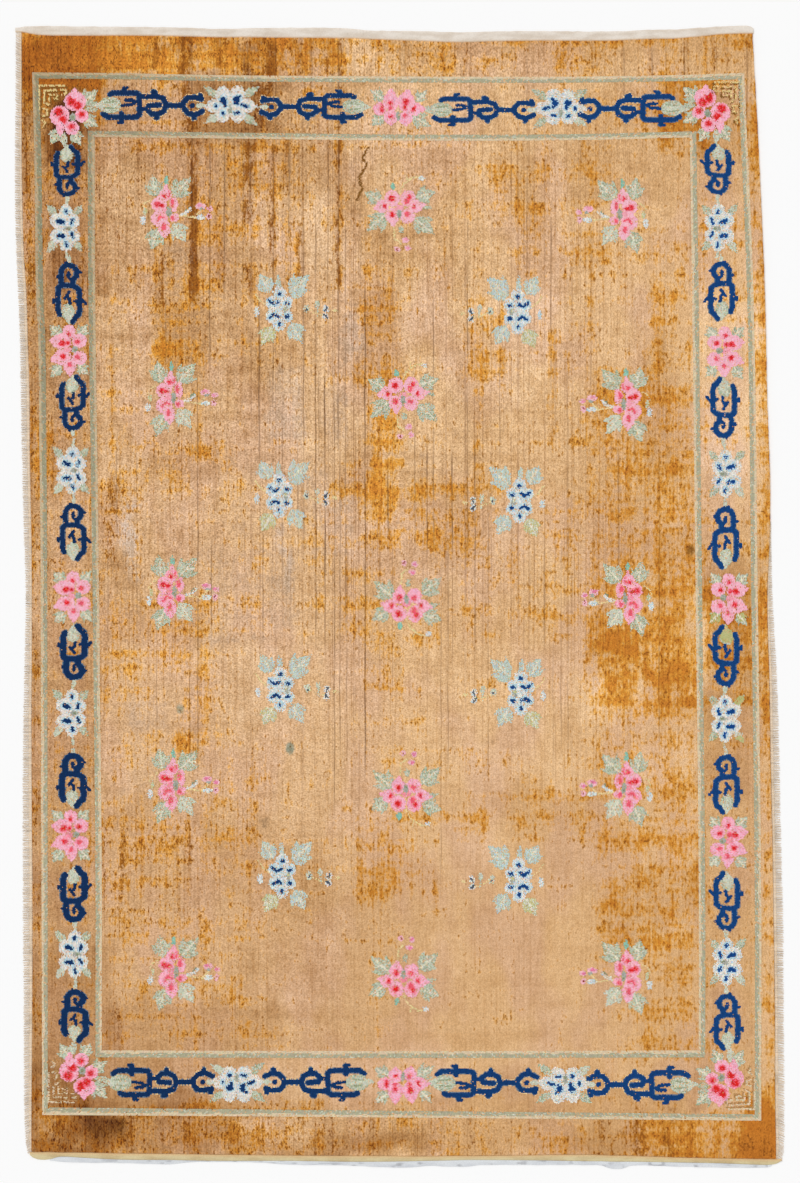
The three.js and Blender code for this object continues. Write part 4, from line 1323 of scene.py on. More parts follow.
FRET_WIDTH = 5.0
SIDE_FRET_WIDTH = 5.0
BROAD_FRET_WIDTH = 6.2
SPUR_WIDTH = 3.3
END_FRET_LINES = [
    ((-42.2, -10.4), (-39, -12.2), (-16, -12), (-13, -10), (-12.3, 9), (-14.6, 11.6), (-22, 12.2),
     (-44, 12), (-49, 9)),
    ((-28.3, -12.2), (-27.6, -16.0)), ((-30.5, 8.6), (-30.5, 16.6)),
    ((-9.3, -8.3), (4, -8.8), (11.3, -6.6), (14.1, 0), (11.9, 6.2), (6.3, 9.2), (-0.4, 8.8), (-4.9, 5.1),
     (-3.2, 0.6), (7.4, -0.1)),
    ((3.5, -9), (3.0, -12.6), (1.0, -13.0)), ((4, 9), (4.4, 12.8)),
    ((14, 0.4), (30.6, 0.4)),
    ((30.8, 0.4), (32, -3.3), (35.3, -7.2), (42, -7.7), (49.3, -6)), ((48.7, -6.6), (48.4, -9.6)),
    ((30.8, 0.4), (32, 4), (36.4, 8.5), (43, 9.6), (50.4, 6.2)), ((41.5, 9.8), (41.8, 12.8)),
]


def halo_of(lines, width, grow):
    """Pale knots that follow the navy line along its edge."""
    return [("line", "halo", width + grow, *points) for points in lines]


def end_fret():
    """The navy fret of the end borders: bracket to the left, scroll, bar and claw to the right."""
    hooks = [((-16.4, -3), (-20, -4.8), (-26.4, -5.0)), ((-16.4, -3), (-21, -0.4), (-29.8, 0.4))]
    hooks += [((-27.8, -16.4), (-24.8, -17.4)), ((-30.5, 16.8), (-33.8, 17.6))]
    return [
        *halo_of(END_FRET_LINES[3:], FRET_WIDTH, 1.7),
        *[("line", "pale_navy", FRET_WIDTH + 0.9, *points) for points in END_FRET_LINES],
        ("dot", "leaf", -42, 0, 11.5, 8.2), ("blade", "leaf_pale", -34, 0, -60, 1, 10),
        ("line", "leaf_dark", 1.3, (-48, 2.6), (-37, 3.4)),
        ("line", "leaf_dark", 1.3, (-47, -2.6), (-36, -3.4)),
        ("blade", "leaf_pale", 43, 0.6, 54, 0.4, 5.5),
        *[("line", "navy", FRET_WIDTH, *points) for points in END_FRET_LINES],
        *[("line", "navy", SPUR_WIDTH, *points) for points in hooks],
        ("dot", "navy", -8.2, 4.0, 2.3, 2.1), ("dot", "navy", 40.3, 0.6, 2.7, 2.5),
    ]


SIDE_FRET_LINES = [
    ((-6.8, -8.4), (-7.2, -15.6), (-7.0, -20.4), (-4.6, -24.8), (0.4, -27.0), (5.8, -25.2), (8.8, -20.8),
     (8.2, -15.4), (5.0, -12), (4.6, -8)),
    ((-9.8, -3.8), (-6.3, -6), (1.4, -6), (8, -4.3), (11, -1.3)),
    ((-9.8, -3.4), (-10.3, 7), (-9.8, 12), (-10.3, 18), (-8.3, 23.4)),
    ((11, -1.4), (11.6, 7), (11, 12), (11.8, 18), (10.6, 23.7)), ((10.6, 23.7), (7.3, 26.3), (4.4, 30.9)),
]
SIDE_FRET_SPURS = [
    ((-2.4, -27), (-2.2, -29.0)), ((-7.4, -15), (-11, -14.8)), ((9, -19.4), (12, -19.4)),
    ((-10, 9.4), (-14.6, 9.4)), ((-14.6, 8.4), (-14.6, 11)), ((11.4, 7.4), (14.2, 8.6), (17.4, 12.6)),
    ((11, 10), (6.8, 10)), ((6.4, -12.6), (2.6, -12.2), (0.4, -14.4)),
    ((0.9, 0.8), (-1.2, 4.3), (-3.2, 6.9)), ((0.9, 6.9), (1.9, 12.5)),
]


def side_fret(width):
    """The navy fret of the side borders: scroll above, bracket below."""
    return [
        *halo_of(SIDE_FRET_LINES[:1], 3.7, 1.6),
        *[("line", "pale_navy", width + 0.9, *points) for points in SIDE_FRET_LINES],
        ("dot", "leaf", 0, 21, 6.6, 8.6), ("blade", "leaf_pale", 0, 16, 1, 34, 9),
        ("dot", "leaf_pale", -1.5, 18, 2.4, 4.0), ("blade", "leaf_pale", 0.8, -28, 1.4, -37, 4.5),
        *[("line", "navy", width, *points) for points in SIDE_FRET_LINES],
        *[("line", "navy", SPUR_WIDTH, *points) for points in SIDE_FRET_SPURS],
        ("dot", "navy", 0.6, -17.2, 2.1, 3.2),
    ]


def near_shapes(shapes, x, y):
    """Which knots may be dyed: those in a shape or right beside it."""
    near = np.zeros(x.shape, bool)
    for kind, _, *values in shapes:
        near |= REACH[kind](x, y, *values) < 0.8
    return near


def chart_box(shapes):
    """The chart's extent: left, top, right, bottom in knots round its own middle."""
    spread = np.arange(-80, 80) + 0.5
    x, y = np.meshgrid(spread, spread)
    near = near_shapes(shapes, x, y)
    return x[near].min() - 0.5, y[near].min() - 0.5, x[near].max() + 0.5, y[near].max() + 0.5


def chart_of(shapes, x, y, ragged):
    """The dye of each knot, shapes drawn in order with ragged edges."""
    chart = np.full(x.shape, BARE)
    for kind, dye, *values in shapes:
        reach = REACH[kind](x, y, *values)
        inside = reach < ragged * rng.uniform(-1, 1, x.shape)
        chart[inside] = DYE_NAMES.index(dye)
    return mixed(chart)


def mixed(chart):
    """The same dyes with a share of their knots in the dyes they are mixed with."""
    changed = chart.copy()
    for dye, other, share in MIXED_DYES:
        changed[has_dye(chart, dye) & (rng.random(chart.shape) < share)] = DYE_NAMES.index(other)
    return changed


def knot_patch(name, shapes, box):
    """A flat patch of knots with the outline of a motif, round its own middle, in knots."""
    left, top, right, bottom = box
    columns, rows = int(right - left), int(bottom - top)
    patch = add_grid(name, columns, rows)
    places = corners_of(patch)
    places[:, 0] = left + (places[:, 0] + 0.5) * columns
    places[:, 1] = -bottom + (places[:, 1] + 0.5) * rows
    move_corners(patch, places)
    centres = face_centres(patch)
    delete_faces(patch, ~near_shapes(shapes, centres[:, 0], -centres[:, 1]))
    return patch


def pink_fading(x, y):
    """Share of the pink that has paled: most in the upper field and the upper borders."""
    if x < 100 or x > 690 or y < 130 or y > 1060:
        return np.interp(y, (110, 350, 600, 840, 1080), (0.16, 0.34, 0.28, 0.10, 0.06))
    return np.interp(y, (150, 420, 620, 1000), (0.44, 0.34, 0.12, 0.10))


def near_yellowed_leaf(across, down):
    """Which knots lie where the photo's leaves have turned yellow-green."""
    near = np.zeros(len(across), bool)
    for mid_x, mid_y, reach in YELLOWED_LEAVES:
        near |= np.hypot(across - mid_x, down - mid_y) < reach
    return near


def lose_knots(chart, centres, index, wear, marks_lost):
    """Takes worn knots out of a chart, in clumps, and fades a share of its dark blue marks."""
    clumps = smooth_noise(centres[:, 0] * 2 + 31 * index, centres[:, 1], 3.0, 11 + index)
    chart[rng.random(len(chart)) < wear * (0.3 + 1.6 * clumps ** 2)] = BARE
    faded = has_dye(chart, "ink") & (rng.random(len(chart)) < marks_lost)
    chart[faded] = DYE_NAMES.index("petal_blue")


def motif_colours(chart, centres, index, mid_x, mid_y, yellowed):
    """The colour of each knot: its dye, streaked by wear, changed by light and place."""
    colours = dyed(np.maximum(chart, 0))
    streak = smooth_noise(centres[:, 0] * 1.7, centres[:, 1] * 0.18, 1.0, 31 + index)
    colours *= (0.90 + 0.2 * streak)[:, None]
    fading = pink_fading(mid_x, mid_y)
    for chosen, share, dye in (
            (has_dye(chart, *YELLOWED_DYES) & yellowed, YELLOWED_SHARE, "green_gold"),
            (has_dye(chart, *FADING_PINKS), fading, "pale_pink")):
        colours[chosen] = colours[chosen] * (1 - share) + dye_colour(dye) * share
    colours[has_dye(chart, "navy", "ink")] *= np.interp(mid_x, *zip(*NAVY_BY_PLACE))
    return colours


def knotted_motifs(name, shapes, places, wear, ragged, material):
    """Copies of one motif over the rug, each with its own worn knots, as one piece.

    Each place is a row: across, down, turned left to right, turned upside down, length share, wear share.
    """
    box = chart_box(shapes)
    left, top, right, bottom = box
    patch = knot_patch(name + "_patch", shapes, box)
    tiles = math.ceil(math.sqrt(len(places)))
    copies = []
    for index, (mid_x, mid_y, flip_x, flip_y, stretch, wear_share) in enumerate(places):
        copied = copy_piece(patch)
        centres = face_centres(copied)
        chart = chart_of(shapes, centres[:, 0], -centres[:, 1], ragged)
        lose_knots(chart, centres, index, wear * wear_share, LOST_MARKS.get((mid_x, mid_y), 0))
        mark_gone(copied, chart == BARE)
        side_x, side_y = (-1 if flip_x else 1), stretch * (-1 if flip_y else 1)
        yellowed = near_yellowed_leaf(mid_x + centres[:, 0] * side_x, mid_y - centres[:, 1] * side_y)
        set_colours(copied, motif_colours(chart, centres, index, mid_x, mid_y, yellowed))
        corners = corners_of(copied)
        local = corners[loop_corners(copied)]
        u = (local[:, 0] - left + 1) / (right - left + 2)
        v = (local[:, 1] + bottom + 1) / (bottom - top + 2)
        set_bake_map(copied, np.stack([(index % tiles + u) / tiles, (index // tiles + v) / tiles], 1))
        middle = chart_to_frame(mid_x, mid_y)
        corners[:, 0] = middle[0] + corners[:, 0] * KNOT * side_x
        corners[:, 1] = middle[1] + corners[:, 1] * KNOT * side_y
        move_corners(copied, corners)
        if flip_x != flip_y:
            copied.data.flip_normals()
        copies.append(copied)
    bpy.data.objects.remove(patch)
    motifs = join_pieces(name, copies)
    settle_knots(motifs)
    motifs.data.materials.append(material)
    return motifs


def scattered(keys, first, second, size):
    """A share from 0 to 1 that looks random, the same for the same pair of whole numbers."""
    value = np.sin(keys[:, 0] * first + keys[:, 1] * second) * size
    return value - np.floor(value)


def settle_knots(piece, stagger=0.32):
    """Takes out lost knots, drops walls into the ground and lays the knots on the cloth."""
    gone = np.empty(len(piece.data.polygons), bool)
    piece.data.attributes["gone"].data.foreach_get("value", gone)
    delete_faces(piece, gone)
    piece.data.attributes.remove(piece.data.attributes["gone"])
    drop_walls(piece, 1.0)
    corners = corners_of(piece)
    top = corners[:, 2] > -0.5
    keys = np.rint(corners[:, :2] / KNOT * 8).astype(int)
    shift_x = scattered(keys, 12.9898, 78.233, 43758.5453)
    shift_y = scattered(keys, 39.3467, 11.135, 24634.6345)
    lift = PATTERN_RELIEF + KNOT_UNEVENNESS * (shift_x - 0.5)
    height = cloth_height(corners[:, 0], corners[:, 1])
    corners[:, 2] = height + np.where(top, lift, -PATTERN_ROOT)
    corners[:, 0] += (shift_x - 0.5) * stagger * KNOT
    corners[:, 1] += (shift_y - 0.5) * stagger * KNOT
    move_corners(piece, corners)


def pattern_material():
    """Dyed silk knots: the chart's dyes, a little uneven from knot to knot."""
    material, tree = new_material("dyed_silk_knots")
    place = object_place(tree)
    chance = knot_chance(tree, place, (KNOT / 2, KNOT / 2), (0.5, 0.2, 0.0))
    threads = noise(tree, place, (420, 34, 1), 2.0, (2.3, 2.2, 0))
    light = add(tree, times(tree, chance, 0.14), 0.93, swing(tree, threads, 0.22))
    lit = lighten(tree, attribute(tree, "knot_dye").outputs["Color"], light)
    finish_cloth(tree, lit, knot_relief(tree, place, chance, 0.4), 0.6, 0.05, 0.35, 0.0005)
    return material


# Guard stripes


GUARD_KNOTS = 6
GUARD_CELL = 1.3


def guard_side(name, rows, upright, cream_outside):
    """One side of a guard frame: rows of knots between two edges, mitred at both ends."""
    outer, inner = curve_through(rows, 1), curve_through(rows, 2)
    start, end = rows[0][0], rows[-1][0]
    first_width, last_width = abs(rows[0][2] - rows[0][1]), abs(rows[-1][2] - rows[-1][1])
    count = int((end - start) / GUARD_CELL)
    strip = add_grid(name, count, GUARD_KNOTS)
    flat = corners_of(strip)
    s, t = flat[:, 0] + 0.5, flat[:, 1] + 0.5
    along = (start + first_width * t) * (1 - s) + (end - last_width * t) * s
    across = outer(along) * (1 - t) + inner(along) * t
    chart_x, chart_y = (across, along) if upright else (along, across)
    x, y = chart_to_frame(chart_x, chart_y)
    move_corners(strip, np.stack([x, y, np.zeros(len(x))], 1))
    centres = face_centres(strip)
    flat_s = np.tile(np.arange(count), GUARD_KNOTS)
    flat_t = np.repeat(np.arange(GUARD_KNOTS), count)
    depth = flat_t if cream_outside else GUARD_KNOTS - 1 - flat_t
    wander = smooth_noise(flat_s * 0.9, flat_t * 0.0, 6.0, 51) * 0.7
    cream = depth + wander < 2.3
    dye = np.where(cream, DYE_NAMES.index("guard_cream"), DYE_NAMES.index("guard_green"))
    fade = smooth_noise(centres[:, 0] / KNOT, centres[:, 1] / KNOT, 18, 61)
    chance = rng.random(len(dye))
    dye[chance < 0.015 + 0.12 * fade ** 3] = DYE_NAMES.index("tan")
    pale = (rng.random(len(dye)) < 0.10) & ~cream
    dye[pale] = DYE_NAMES.index("leaf_pale")
    dye = mixed(dye)
    edge = (flat_t == 0) | (flat_t == GUARD_KNOTS - 1)
    gone = edge & (rng.random(len(dye)) < 0.02)
    gone |= rng.random(len(dye)) < 0.02 * fade ** 2
    mark_gone(strip, gone)
    colours = dyed(dye, 0.034)
    soiled = np.clip((300 - centres[:, 0] / KNOT - CHART_MIDDLE[0]) / 260, 0, 1)
    soiled *= np.clip((centres[:, 1] / KNOT + 200) / 500, 0, 1)
    colours *= (1 - 0.30 * soiled)[:, None] * (1 - np.outer(soiled, (0.0, 0.04, 0.12)))
    set_colours(strip, colours)
    loops = loop_corners(strip)
    return strip, np.stack([s[loops], t[loops]], 1)


def guard_frame(name, sides, cream_outside, material):
    """A guard frame: its four sides joined, laid on the cloth."""
    strips = []
    for index, (side, rows) in enumerate(sides.items()):
        strip, flat_map = guard_side(f"{name}_{side}", rows, side in ("left", "right"), cream_outside)
        flat_map[:, 1] = (index + 0.1 + flat_map[:, 1] * 0.8) / len(sides)
        set_bake_map(strip, flat_map)
        normals_up(strip)
        strips.append(strip)
    framed = join_pieces(name, strips)
    settle_knots(framed, 0.08)
    framed.data.materials.append(material)
    return framed


def normals_up(piece):
    """Turns a flat open piece over where its faces look down."""
    if piece.data.polygons[0].normal.z < 0:
        piece.data.flip_normals()


# End bands, tape and fringe

# The bands: their ends, spacing and crown in millimetres, their thickness in metres
BAND_INSET = 0.4
BAND_STEP = 3.0
BAND_CROWN = 2.7
BAND_THICKNESS = 0.0021


def strip_between(name, start, end, step, across, place_of):
    """A grid along an edge; place_of gives x, y and z for shares along and across."""
    count = max(2, int((end - start) / step))
    strip = add_grid(name, count, across)
    flat = corners_of(strip)
    s, t = flat[:, 0] + 0.5, flat[:, 1] + 0.5
    along = start + (end - start) * s
    x, y, z = place_of(along, t)
    move_corners(strip, np.stack([x * MM, y * MM, z * MM], 1))
    loops = loop_corners(strip)
    return strip, np.stack([s[loops], t[loops]], 1)


def give_thickness(piece, thickness):
    """A second face below and rims all round."""
    select_alone(piece)
    solid = piece.modifiers.new("thickness", "SOLIDIFY")
    solid.thickness = thickness
    solid.offset = -1
    bpy.ops.object.modifier_apply(modifier=solid.name)
    places = corners_of(piece)
    places[:, 2] = np.maximum(places[:, 2], 0.00004)
    move_corners(piece, places)


def map_strip(piece, flat_map):
    """The flat map of a strip: its upper face over most of the square, the rest in a thin stripe."""
    top = len(flat_map)
    full = np.zeros((len(piece.data.loops), 2))
    full[:top] = np.stack([flat_map[:, 0], flat_map[:, 1] * 0.9], 1)
    if len(full) >= 2 * top:
        full[top:2 * top] = np.stack([flat_map[:, 0], 0.93 + flat_map[:, 1] * 0.03], 1)
        full[2 * top:] = (0.5, 0.98)
    set_bake_map(piece, full)


def weave_height(tree, place, pitch):
    """Over and under of a plain weave."""
    warp, weft = [calc(tree, "SINE", times(tree, part, math.pi / pitch)) for part in split(tree, place)[:2]]
    return add(tree, times(tree, times(tree, warp, weft), 0.5), 0.5)


def band_material(name, light_tone, dark_tone, shadow_tone):
    """Flat-woven cotton: cream threads, soiled in patches, darker in its folds."""
    material, tree = new_material(name)
    place = object_place(tree)
    weave = weave_height(tree, place, 0.0016)
    soil = noise(tree, place, (18, 60, 1), 3.0, (2.2, 0.7, 0))
    fine = noise(tree, place, (260, 420, 1), 2.0, (0.4, 5.1, 0))
    tone = attribute(tree, "tone")
    colour = blend_colour(tree, ramp(tree, soil, 0.35, 0.68), light_tone, dark_tone)
    colour = blend_colour(tree, tone.outputs["Fac"], colour, shadow_tone)
    light = add(tree, times(tree, weave, 0.14), 0.88, swing(tree, fine, 0.35))
    height = add(tree, weave, times(tree, fine, 0.5))
    finish_cloth(tree, lighten(tree, colour, light), height, 0.82, 0.1, 0.5, 0.0005)
    return material


def set_tone(piece, values):
    """A share for each vertex of how far it takes the second colour."""
    layer = piece.data.attributes.get("tone") or piece.data.attributes.new("tone", "FLOAT", "POINT")
    layer.data.foreach_set("value", np.asarray(values, np.float32))


def rounded(t, rise=0.6):
    """The crown of a strip across its width: lower at both edges."""
    return 1 - rise * np.abs(2 * t - 1) ** 5


def woven_band(name, ends, columns, place_of, pile, peach, tones):
    """A band along one end of the rug, its threads peach next to the pile.

    peach is how strong it starts, over how many millimetres it goes, and the share it takes.
    """
    strip_ends = ends[0][0] + BAND_INSET, ends[-1][0] - BAND_INSET
    band, flat_map = strip_between(name, *strip_ends, BAND_STEP, columns, place_of)
    normals_up(band)
    places = corners_of(band) / MM
    depth = np.abs(places[:, 1] - pile(places[:, 0]))
    give_thickness(band, BAND_THICKNESS)
    map_strip(band, flat_map)
    strength, fade, share = peach
    upper_face = np.clip(strength - depth / fade, 0, 1) * share
    set_tone(band, np.concatenate([upper_face, upper_face])[:len(band.data.vertices)])
    material_name, *colours = tones
    band.data.materials.append(band_material(material_name, *[linear(*colour) for colour in colours]))
    return band


def band_crown(x, t, ripple, ripple_length, seed):
    """Height of a band over the floor, in millimetres: rounded, rippled and a little uneven."""
    ripples = ripple * np.sin(x / ripple_length) * (t > 0.3)
    return BAND_CROWN * rounded(t) + ripples + 0.3 * smooth_noise(x, t * 20, 12, seed)


def upper_band():
    """The woven band of the upper end, with a thin peach selvedge next to the pile."""
    def place_of(x, t):
        inner, outer = upper_pile(x) + 0.3, upper_band_edge(x)
        wave = (smooth_noise(x, t, 14, 91) - 0.5) * 1.2 * (t == 1)
        return x, inner * (1 - t) + (outer + wave) * t, band_crown(x, t, 0.25, 3.1, 92)

    tones = ("pinkish_woven_cotton", (238, 228, 216), (222, 208, 192), (234, 204, 164))
    return woven_band("upper_band_weave", UPPER_END, 10, place_of, upper_pile, (1.15, 4.0, 0.8), tones)


def lower_band():
    """The woven band of the lower end: peach by the pile, creamier towards its outer edge."""
    def place_of(x, t):
        inner, outer = lower_pile(x) - 0.3, lower_band_edge(x)
        return x, inner * (1 - t) + outer * t, band_crown(x, t, 0.22, 2.7, 93)

    tones = ("cream_woven_cotton", (222, 206, 162), (204, 182, 138), (228, 192, 142))
    return woven_band("lower_band_weave", LOWER_END, 8, place_of, lower_pile, (1.25, 7.0, 0.85), tones)


def lower_tape():
    """The pale tape that shows past the lower band, its free edge wavy."""
    def place_of(x, t):
        inner = lower_band_edge(x) - 0.3
        outer = np.minimum(lower_tape_edge(x), inner - 2)
        z = 1.15 + 0.25 * np.sin(x / 9.0 + 2 * t) * t + 0.1 * smooth_noise(x, t * 12, 9, 94)
        return x, inner * (1 - t) + outer * t, z

    tape, flat_map = strip_between("lower_tape_cloth", TAPE_START, TAPE_END, 3.0, 6, place_of)
    normals_up(tape)
    places = corners_of(tape) / MM
    # Grey patches on the tape, blended towards the material's third tone.
    grey_patches = smooth_noise(places[:, 0], places[:, 1] * 3, 16, 95)
    give_thickness(tape, 0.0008)
    map_strip(tape, flat_map)
    tone = np.clip((grey_patches - 0.72) * 4, 0, 1) * 0.8
    set_tone(tape, np.concatenate([tone, tone])[:len(tape.data.vertices)])
    tape.data.materials.append(band_material(
        "pale_tape", linear(228, 231, 234), linear(214, 217, 222), linear(168, 168, 172)))
    return tape


# The fringe, in millimetres and in shares of its length or of a thread's width
THREAD_PITCH = 1.9
THREAD_WIDTH = 1.45
THREAD_TAPER = 0.25
THREADS_IN_LOCK = 3
HEAD_SHARE = 0.30
ROW_SPACING = 3


def fringe_material():
    """Warp ends: cream, some of them brown with dust."""
    material, tree = new_material("cream_warp_threads")
    place = object_place(tree)
    tone = attribute(tree, "tone")
    ply = noise(tree, place, (90, 520, 1), 2.0, (1.1, 0.3, 0))
    soil = noise(tree, place, (40, 22, 1), 2.0, (0.1, 6.3, 0))
    colour = blend_colour(tree, tone.outputs["Fac"], linear(242, 222, 196), linear(160, 138, 116))
    colour = blend_colour(tree, ramp(tree, soil, 0.5, 0.75, 0.0, 0.5), colour, linear(196, 176, 150))
    lit = lighten(tree, colour, add(tree, times(tree, ply, 0.36), 0.80))
    finish_cloth(tree, lit, ply, 0.85, 0.1, 0.5, 0.0004)
    return material


def fringe_head(name, start, end, pile, tips, outward):
    """The thin woven head of a fringe, beside the cloth."""
    def place_of(y, t):
        inner = pile(y) + outward * 0.3
        outer = inner + outward * np.maximum(np.abs(tips(y) - inner) * HEAD_SHARE, 1.0)
        wave = (smooth_noise(y, t, 5, 96) - 0.5) * 1.6 * (t == 1)
        z = 1.7 * rounded(t, 0.5) + 0.2 * smooth_noise(y, t * 9, 4, 97)
        return inner * (1 - t) + (outer + wave) * t, y, z

    head, flat_map = strip_between(name, start, end, 3.4, 4, place_of)
    normals_up(head)
    give_thickness(head, 0.0012)
    map_strip(head, flat_map * (0.45, 1) + (0.5, 0))
    set_tone(head, np.zeros(len(head.data.vertices)))
    return head


def upright_threads(name, count):
    """A row of upright three-sided threads of unit size, each cut in four along its length."""
    bpy.ops.object.select_all(action="DESELECT")
    bpy.ops.mesh.primitive_cylinder_add(vertices=3, radius=0.5, depth=1, end_fill_type="NGON")
    thread = named(name)
    with editing(thread):
        pass
    heights = corners_of(thread)[:, 2]
    edges = np.array([tuple(edge.vertices) for edge in thread.data.edges])
    upright = np.abs(heights[edges[:, 0]] - heights[edges[:, 1]]) > 0.5
    thread.data.edges.foreach_set("select", upright)
    bpy.ops.object.mode_set(mode="EDIT")
    bpy.ops.mesh.subdivide(number_cuts=3)
    bpy.ops.object.mode_set(mode="OBJECT")
    array = thread.modifiers.new("row", "ARRAY")
    array.use_relative_offset = False
    array.use_constant_offset = True
    array.constant_offset_displace = (0, ROW_SPACING, 0)
    array.count = count
    bpy.ops.object.modifier_apply(modifier=array.name)
    return thread


def side_fringe(name, pile, tips, start, end, seed, material):
    """A side's fringe: a thin woven head by the cloth, and fine threads that leave it in locks."""
    outward = 1 if tips(start) > pile(start) else -1
    head = fringe_head(name + "_head", start, end, pile, tips, outward)
    count = int((end - start) / THREAD_PITCH)
    thread = upright_threads(name, count)
    places = corners_of(thread)
    index = np.arange(len(places)) // (len(places) // count)
    shares = places[:, 2] + 0.5
    ring_x, ring_y = places[:, 0], places[:, 1] - ROW_SPACING * index
    chance = np.random.default_rng(seed)
    lock = index // THREADS_IN_LOCK
    root_y = start + (index + 0.5) * THREAD_PITCH
    lock_y = start + (lock + 0.5) * THREADS_IN_LOCK * THREAD_PITCH
    gather = chance.uniform(0.1, 0.75, count // THREADS_IN_LOCK + 2)[lock]
    reach = chance.uniform(0.86, 1.0, count)[index]
    slant = 9.0 * (root_y / 1389) ** 5 + chance.normal(0, 0.5, count)[index]
    inner = pile(root_y) + outward * 0.4
    length = (tips(root_y) - inner) * reach
    y = root_y + (lock_y - root_y) * gather * shares + slant * shares ** 1.5
    y += chance.normal(0, 0.45, count)[index] * np.sin(shares * 5 + index)
    x = inner + length * shares
    width = THREAD_WIDTH * (1 - THREAD_TAPER * shares)
    z = 2.05 - 1.15 * shares ** 0.8 + chance.uniform(-0.25, 0.25, count)[index] * (1 - shares)
    z = np.maximum(z + ring_x * width, 0.06)
    move_corners(thread, np.stack([x * MM, (y + ring_y * width) * MM, z * MM], 1))
    soiled = chance.uniform(0, 1, count)[index] ** 2
    set_tone(thread, np.clip(0.12 * shares + 0.55 * soiled, 0, 1))
    loops = loop_corners(thread)
    set_bake_map(thread, np.stack([shares[loops] * 0.45, index[loops] / count], 1))
    make_outward(thread)
    fringe = join_pieces(name, [thread, head])
    fringe.data.materials.append(material)
    return fringe


# Putting the rug together


def in_rug(piece, slot, *nodes):
    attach(piece, "root")
    if nodes:
        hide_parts(*nodes)
    return piece


PINK_SIDE_ROWS = [(166, 212), (171, 398), (172, 592), (173, 785), (173.5, 972)]
PINK_RIGHT_ROWS = [(622.6, 215), (626.4, 404), (628, 598), (626.6, 788.4), (626.4, 976)]
PINK_MIDDLE_ROWS = [(401.6, 210), (405, 397), (408.6, 602.4), (407.8, 792.2), (405.6, 977.4)]
PALE_LEFT_ROWS = [(280, 303), (280, 489.5), (281, 683), (283, 869.6)]
PALE_RIGHT_ROWS = [(517, 305.6), (519, 494.8), (520, 687), (518, 873.6)]

# End borders: frets' places, whether they are turned left to right, height share
TOP_FRETS = [(152.2, 105.4, False, 1.0), (312, 106.8, True, 0.90),
             (483.2, 109.9, False, 0.88), (630.2, 108.6, True, 0.96)]
BOTTOM_FRETS = [(162.4, 1082.2, False, 1.0), (315.3, 1082.2, True, 1.0),
                (486.4, 1082.8, False, 0.98), (638.9, 1084.8, True, 1.02)]

# Side borders: top and bottom of each fret, and whether its bracket is above
LEFT_FRETS = [(147, 198, True), (261, 322, False), (377, 432, True), (502, 559, False),
              (626, 681, True), (752, 806, False), (868, 923, True), (988, 1040, False)]
RIGHT_FRETS = [(146, 196, True), (260, 319, False), (379, 440, True), (505, 567, False),
               (627, 688, True), (753, 812, False), (873, 932, True), (992, 1048, False)]
SIDE_FRET_LENGTH = 62.0
BROAD_FRETS_FROM = 600

# Border flowers and corners, in knots
WHITE_END_ROWS = [(231.6, 105.8), (559.6, 108.4), (238, 1082.4), (564, 1083.6)]
WHITE_LEFT_ROWS = [(64.6, 227.6), (71, 469.6), (70.6, 712), (73.2, 953.2)]
WHITE_RIGHT_ROWS = [(719.6, 227.4), (727, 473), (726.6, 717.6), (727.8, 960.8)]
PINK_BORDER_LEFT = [(69, 350.4), (72.8, 596.5), (70.6, 835.2)]
PINK_BORDER_RIGHT = [(725, 352), (728.8, 598.6), (728.2, 841.6)]
CORNER_ROWS = [(69.4, 113), (711, 109.6), (78.8, 1074.8), (724.5, 1081.8)]
FRETWORK_WEAR = (1.0, 3.0, 4.0, 1.5)
SQUIGGLE = ("line", "bark", 2.2, (5.5, -26), (-0.5, -16), (4.5, -9), (-3.5, 4), (-0.5, 14), (-5.5, 26))


def border_x(y, left):
    """Middle of a side border at a height on the chart."""
    if left:
        return np.interp(y, (170, 290, 400, 650, 780, 1010), (66.6, 68.3, 72, 73.6, 72.3, 74.5))
    return np.interp(y, (170, 290, 400, 530, 1010), (718.4, 722, 724, 726, 727.6))


def placed(rows, flip_x=False, flip_y=False, wear_share=1.0):
    """Full rows of place for motifs that are all turned and worn alike."""
    return [(x, y, flip_x, flip_y, 1.0, wear_share) for x, y in rows]


def in_quarters(rows, wear_shares=(1.0, 1.0, 1.0, 1.0)):
    """Places in the upper left, upper right, lower left and lower right, each turned to suit."""
    turns = ((False, False), (True, False), (False, True), (True, True))
    return [(*row, *turn, 1.0, wear) for row, turn, wear in zip(rows, turns, wear_shares)]


def side_fret_places():
    """The side borders' frets: the narrow ones, and the broad ones low on the left."""
    narrow, broad = [], []
    for left, rows in ((True, LEFT_FRETS), (False, RIGHT_FRETS)):
        for top, bottom, bracket_above in rows:
            middle = (top + bottom) / 2
            share = (bottom - top) / SIDE_FRET_LENGTH
            place = (border_x(middle, left), middle, not left, bracket_above, share, 1.0)
            (broad if left and middle > BROAD_FRETS_FROM else narrow).append(place)
    return narrow, broad


